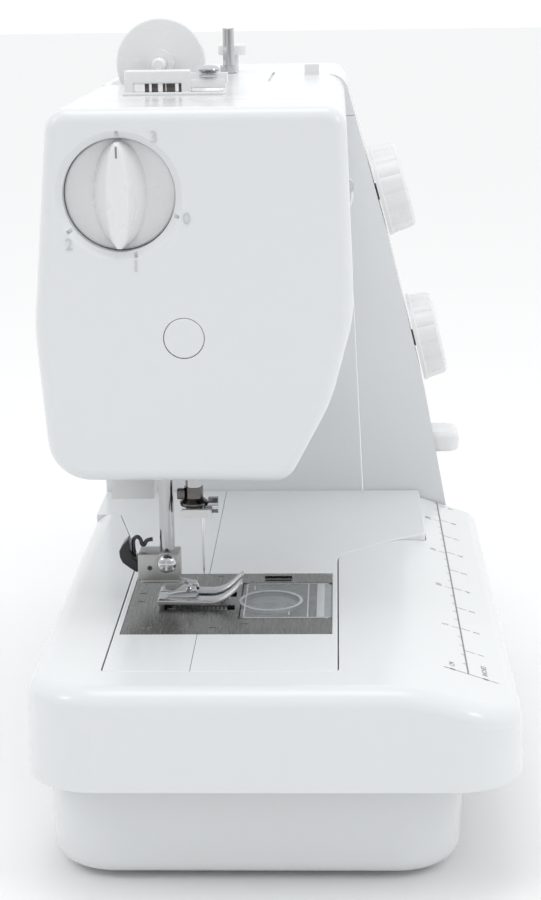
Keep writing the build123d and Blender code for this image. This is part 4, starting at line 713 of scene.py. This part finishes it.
ankle_parts = []
block_shell = side_plate("ankle_block", [(55.2, 90.4), (55.2, 100.6), (54.8, 101.0), (39.3, 101.0),
                                         (38.9, 100.6), (38.9, 90.4)],
                         (-107.5, -96.5))
rounded(block_shell, 0.5, 3)
ankle_parts.append(block_shell)
for low, high in (((-106.8, 39.4, 88.9), (-97.2, 54.2, 90.5)), ((-105.0, 37.4, 85.6), (-99.0, 45.2, 89.2))):
    ledge = bar_piece("ledge", low, high)
    rounded(ledge, 0.5, 3)
    ankle_parts.append(ledge)
ankle_parts.append(turned("screw_seat", Vector((-107.4, 43.8, 97.3)) * MM, (-1, 0, 0),
                          [(0, 0), (4.6, 0), (4.4, 0.35), (0, 0.35)], steps=40))
ankle = joined("ankle", ankle_parts)
smooth_edges(ankle, 40)
satin_steel = brushed_material("satin_steel", (0.50, 0.50, 0.49), (0.42, 0.42, 0.41), (300.0, 1200.0, 300.0),
                               (0.28, 0.42))
place_on(ankle, satin_steel, "presser_bar", "steel", "foot_holder")

# A thin black disc on the ankle's face is painted shade, standing in for the dark inside of a hole.
hole_shade_disc = turned("painted_shade_in_ankle_hole", Vector((-107.52, 50.5, 95.4)) * MM, (-1, 0, 0),
                   [(0, -0.02), (0.95, -0.02), (0.95, 0.06), (0, 0.06)], steps=24)
place_on(hole_shade_disc, hollow_shade_black, "presser_bar", "black_plastic")

screw_dome = turned("clamp_screw_dome", Vector((-107.9, 43.8, 97.3)) * MM, (-1, 0, 0),
                    [(0, -0.4), (3.85, -0.4), (3.85, 0.5), (3.4, 1.4), (2.4, 2.2), (1.2, 2.6), (0, 2.7)],
                    steps=48)
for low, high in (((-112.0, 41.4, 96.9), (-109.6, 46.2, 97.7)), ((-112.0, 43.4, 94.9), (-109.6, 44.2, 99.7))):
    cutter = bar_piece("slot_cutter", low, high)
    bpy.ops.object.select_all(action="DESELECT")
    bpy.context.view_layer.objects.active = screw_dome
    cut = screw_dome.modifiers.new("slot", "BOOLEAN")
    cut.operation, cut.object, cut.solver = "DIFFERENCE", cutter, "EXACT"
    bpy.ops.object.modifier_apply(modifier="slot")
    bpy.data.objects.remove(cutter)
smooth_edges(screw_dome, 30)
place_on(screw_dome, chrome, "presser_bar", "chrome", "foot_holder_screw")


def bent_wire(name, path, radius):
    """Round spring wire along a smooth path, as a mesh."""
    bpy.ops.object.select_all(action="DESELECT")
    bpy.ops.curve.primitive_bezier_curve_add()
    wire_piece = bpy.context.object
    wire_piece.name = name
    curve = wire_piece.data
    curve.splines.clear()
    line = curve.splines.new("NURBS")
    line.points.add(len(path) - 1)
    for point, place in zip(line.points, path):
        point.co = (*[v * MM for v in place], 1.0)
    line.order_u, line.use_endpoint_u = 3, True
    curve.bevel_depth, curve.bevel_resolution, curve.use_fill_caps = radius * MM, 4, True
    bpy.ops.object.convert(target="MESH")
    return bpy.context.object


spring_wire = bent_wire("ankle_spring", [(-102.0, 57.0, 97.5), (-102.0, 57.2, 102.0), (-102.0, 57.4, 105.6),
                                         (-102.0, 55.6, 106.9),
                                         (-102.0, 54.2, 105.4), (-102.0, 54.0, 103.4), (-102.0, 52.8, 103.2),
                                         (-102.0, 52.2, 105.4),
                                         (-102.0, 49.6, 105.6)], 0.8)
smooth_edges(spring_wire, 60)
place_on(spring_wire, dark_steel, "presser_bar", "dark_steel")

thumb = side_plate("release_thumb_lever", [(59.0, 106.4), (61.0, 104.4), (62.6, 101.6), (62.4, 99.2),
                                           (61.4, 97.0), (58.6, 94.8),
                                           (55.6, 92.9), (54.9, 94.4), (55.4, 97.4), (57.4, 99.3),
                                           (58.4, 101.6), (58.6, 104.4)],
                   (-106.0, -98.0))
rounded(thumb, 0.7, 3)
place_on(thumb, black_nylon, "foot_release", "black_plastic", "foot_release_lever")

# ---------------------------------------------------------------- needle clamp
# A turned steel clamp on the needle bar with a wide foot and a small thread hook at its back.

clamp = turned("needle_clamp_body", Vector((-102.0, 33.0, 115.5)) * MM, (0, 0, 1),
               [(0, 0), (3.4, 0), (3.4, 3.8), (5.4, 4.1), (5.6, 4.6), (5.6, 5.4), (4.2, 6.6), (3.7, 7.2),
                (3.7, 11.5), (0, 11.5)], steps=48)
hook_bit = bar_piece("thread_hook", (-105.2, 36.2, 122.4), (-102.4, 39.4, 126.6))
rounded(hook_bit, 0.6, 3)
clamp = joined("needle_clamp_body", [clamp, hook_bit])
smooth_edges(clamp, 35)
clamp_steel = brushed_material("clamp_steel", (0.16, 0.15, 0.145), (0.10, 0.095, 0.09), (500.0, 500.0, 500.0),
                               (0.14, 0.26))
place_on(clamp, clamp_steel, "needle_bar", "steel", "needle_clamp")

# ---------------------------------------------------------------- top thread guides and tension discs
# A white guide bar with blued steel hooks under it ends in an arm that carries a pair of bright tension
# discs. The bar and arm are moulded, and the discs are turned and chrome plated.

TOP_Z = 275.0
arm = bar_piece("guide_arm", (-68.2, 19.4, TOP_Z + 2.6), (-61.8, 33.4, TOP_Z + 6.4))
rounded(arm, 0.8, 3)
ledge = bar_piece("guide_ledge", (-69.0, 20.0, TOP_Z - 0.2), (-60.5, 59.6, TOP_Z + 1.2))
rounded(ledge, 0.5, 3)
guide_arm = joined("guide_arm", [arm, ledge])
smooth_edges(guide_arm)
place_on(guide_arm, white_dial, "frame", "dial_plastic")
hooks = []
for y, width in ((57.0, 1.4), (50.3, 1.6), (47.2, 2.4), (43.6, 1.0), (41.0, 3.4), (37.4, 1.0)):
    hook = bar_piece("hook", (-66.6, y - width / 2, TOP_Z + 1.0), (-63.4, y + width / 2, TOP_Z + 4.7))
    rounded(hook, 0.25, 2)
    hooks.append(hook)
thread_hooks = joined("thread_hooks", hooks)
smooth_edges(thread_hooks)
place_on(thread_hooks, clamp_steel, "frame", "dark_steel")
discs = turned("tension_discs", Vector((-65.0, 26.2, TOP_Z + 6.4)) * MM, (0, 0, 1),
               [(0, -0.2), (3.2, -0.2), (4.6, 0.6), (4.7, 1.0), (3.0, 2.1), (4.7, 3.1), (4.6, 3.5),
                (3.4, 4.5), (1.6, 4.9), (0, 5.0)],
               steps=48)
smooth_edges(discs, 35)
place_on(discs, chrome, "frame", "chrome", "winder_tension_disc")
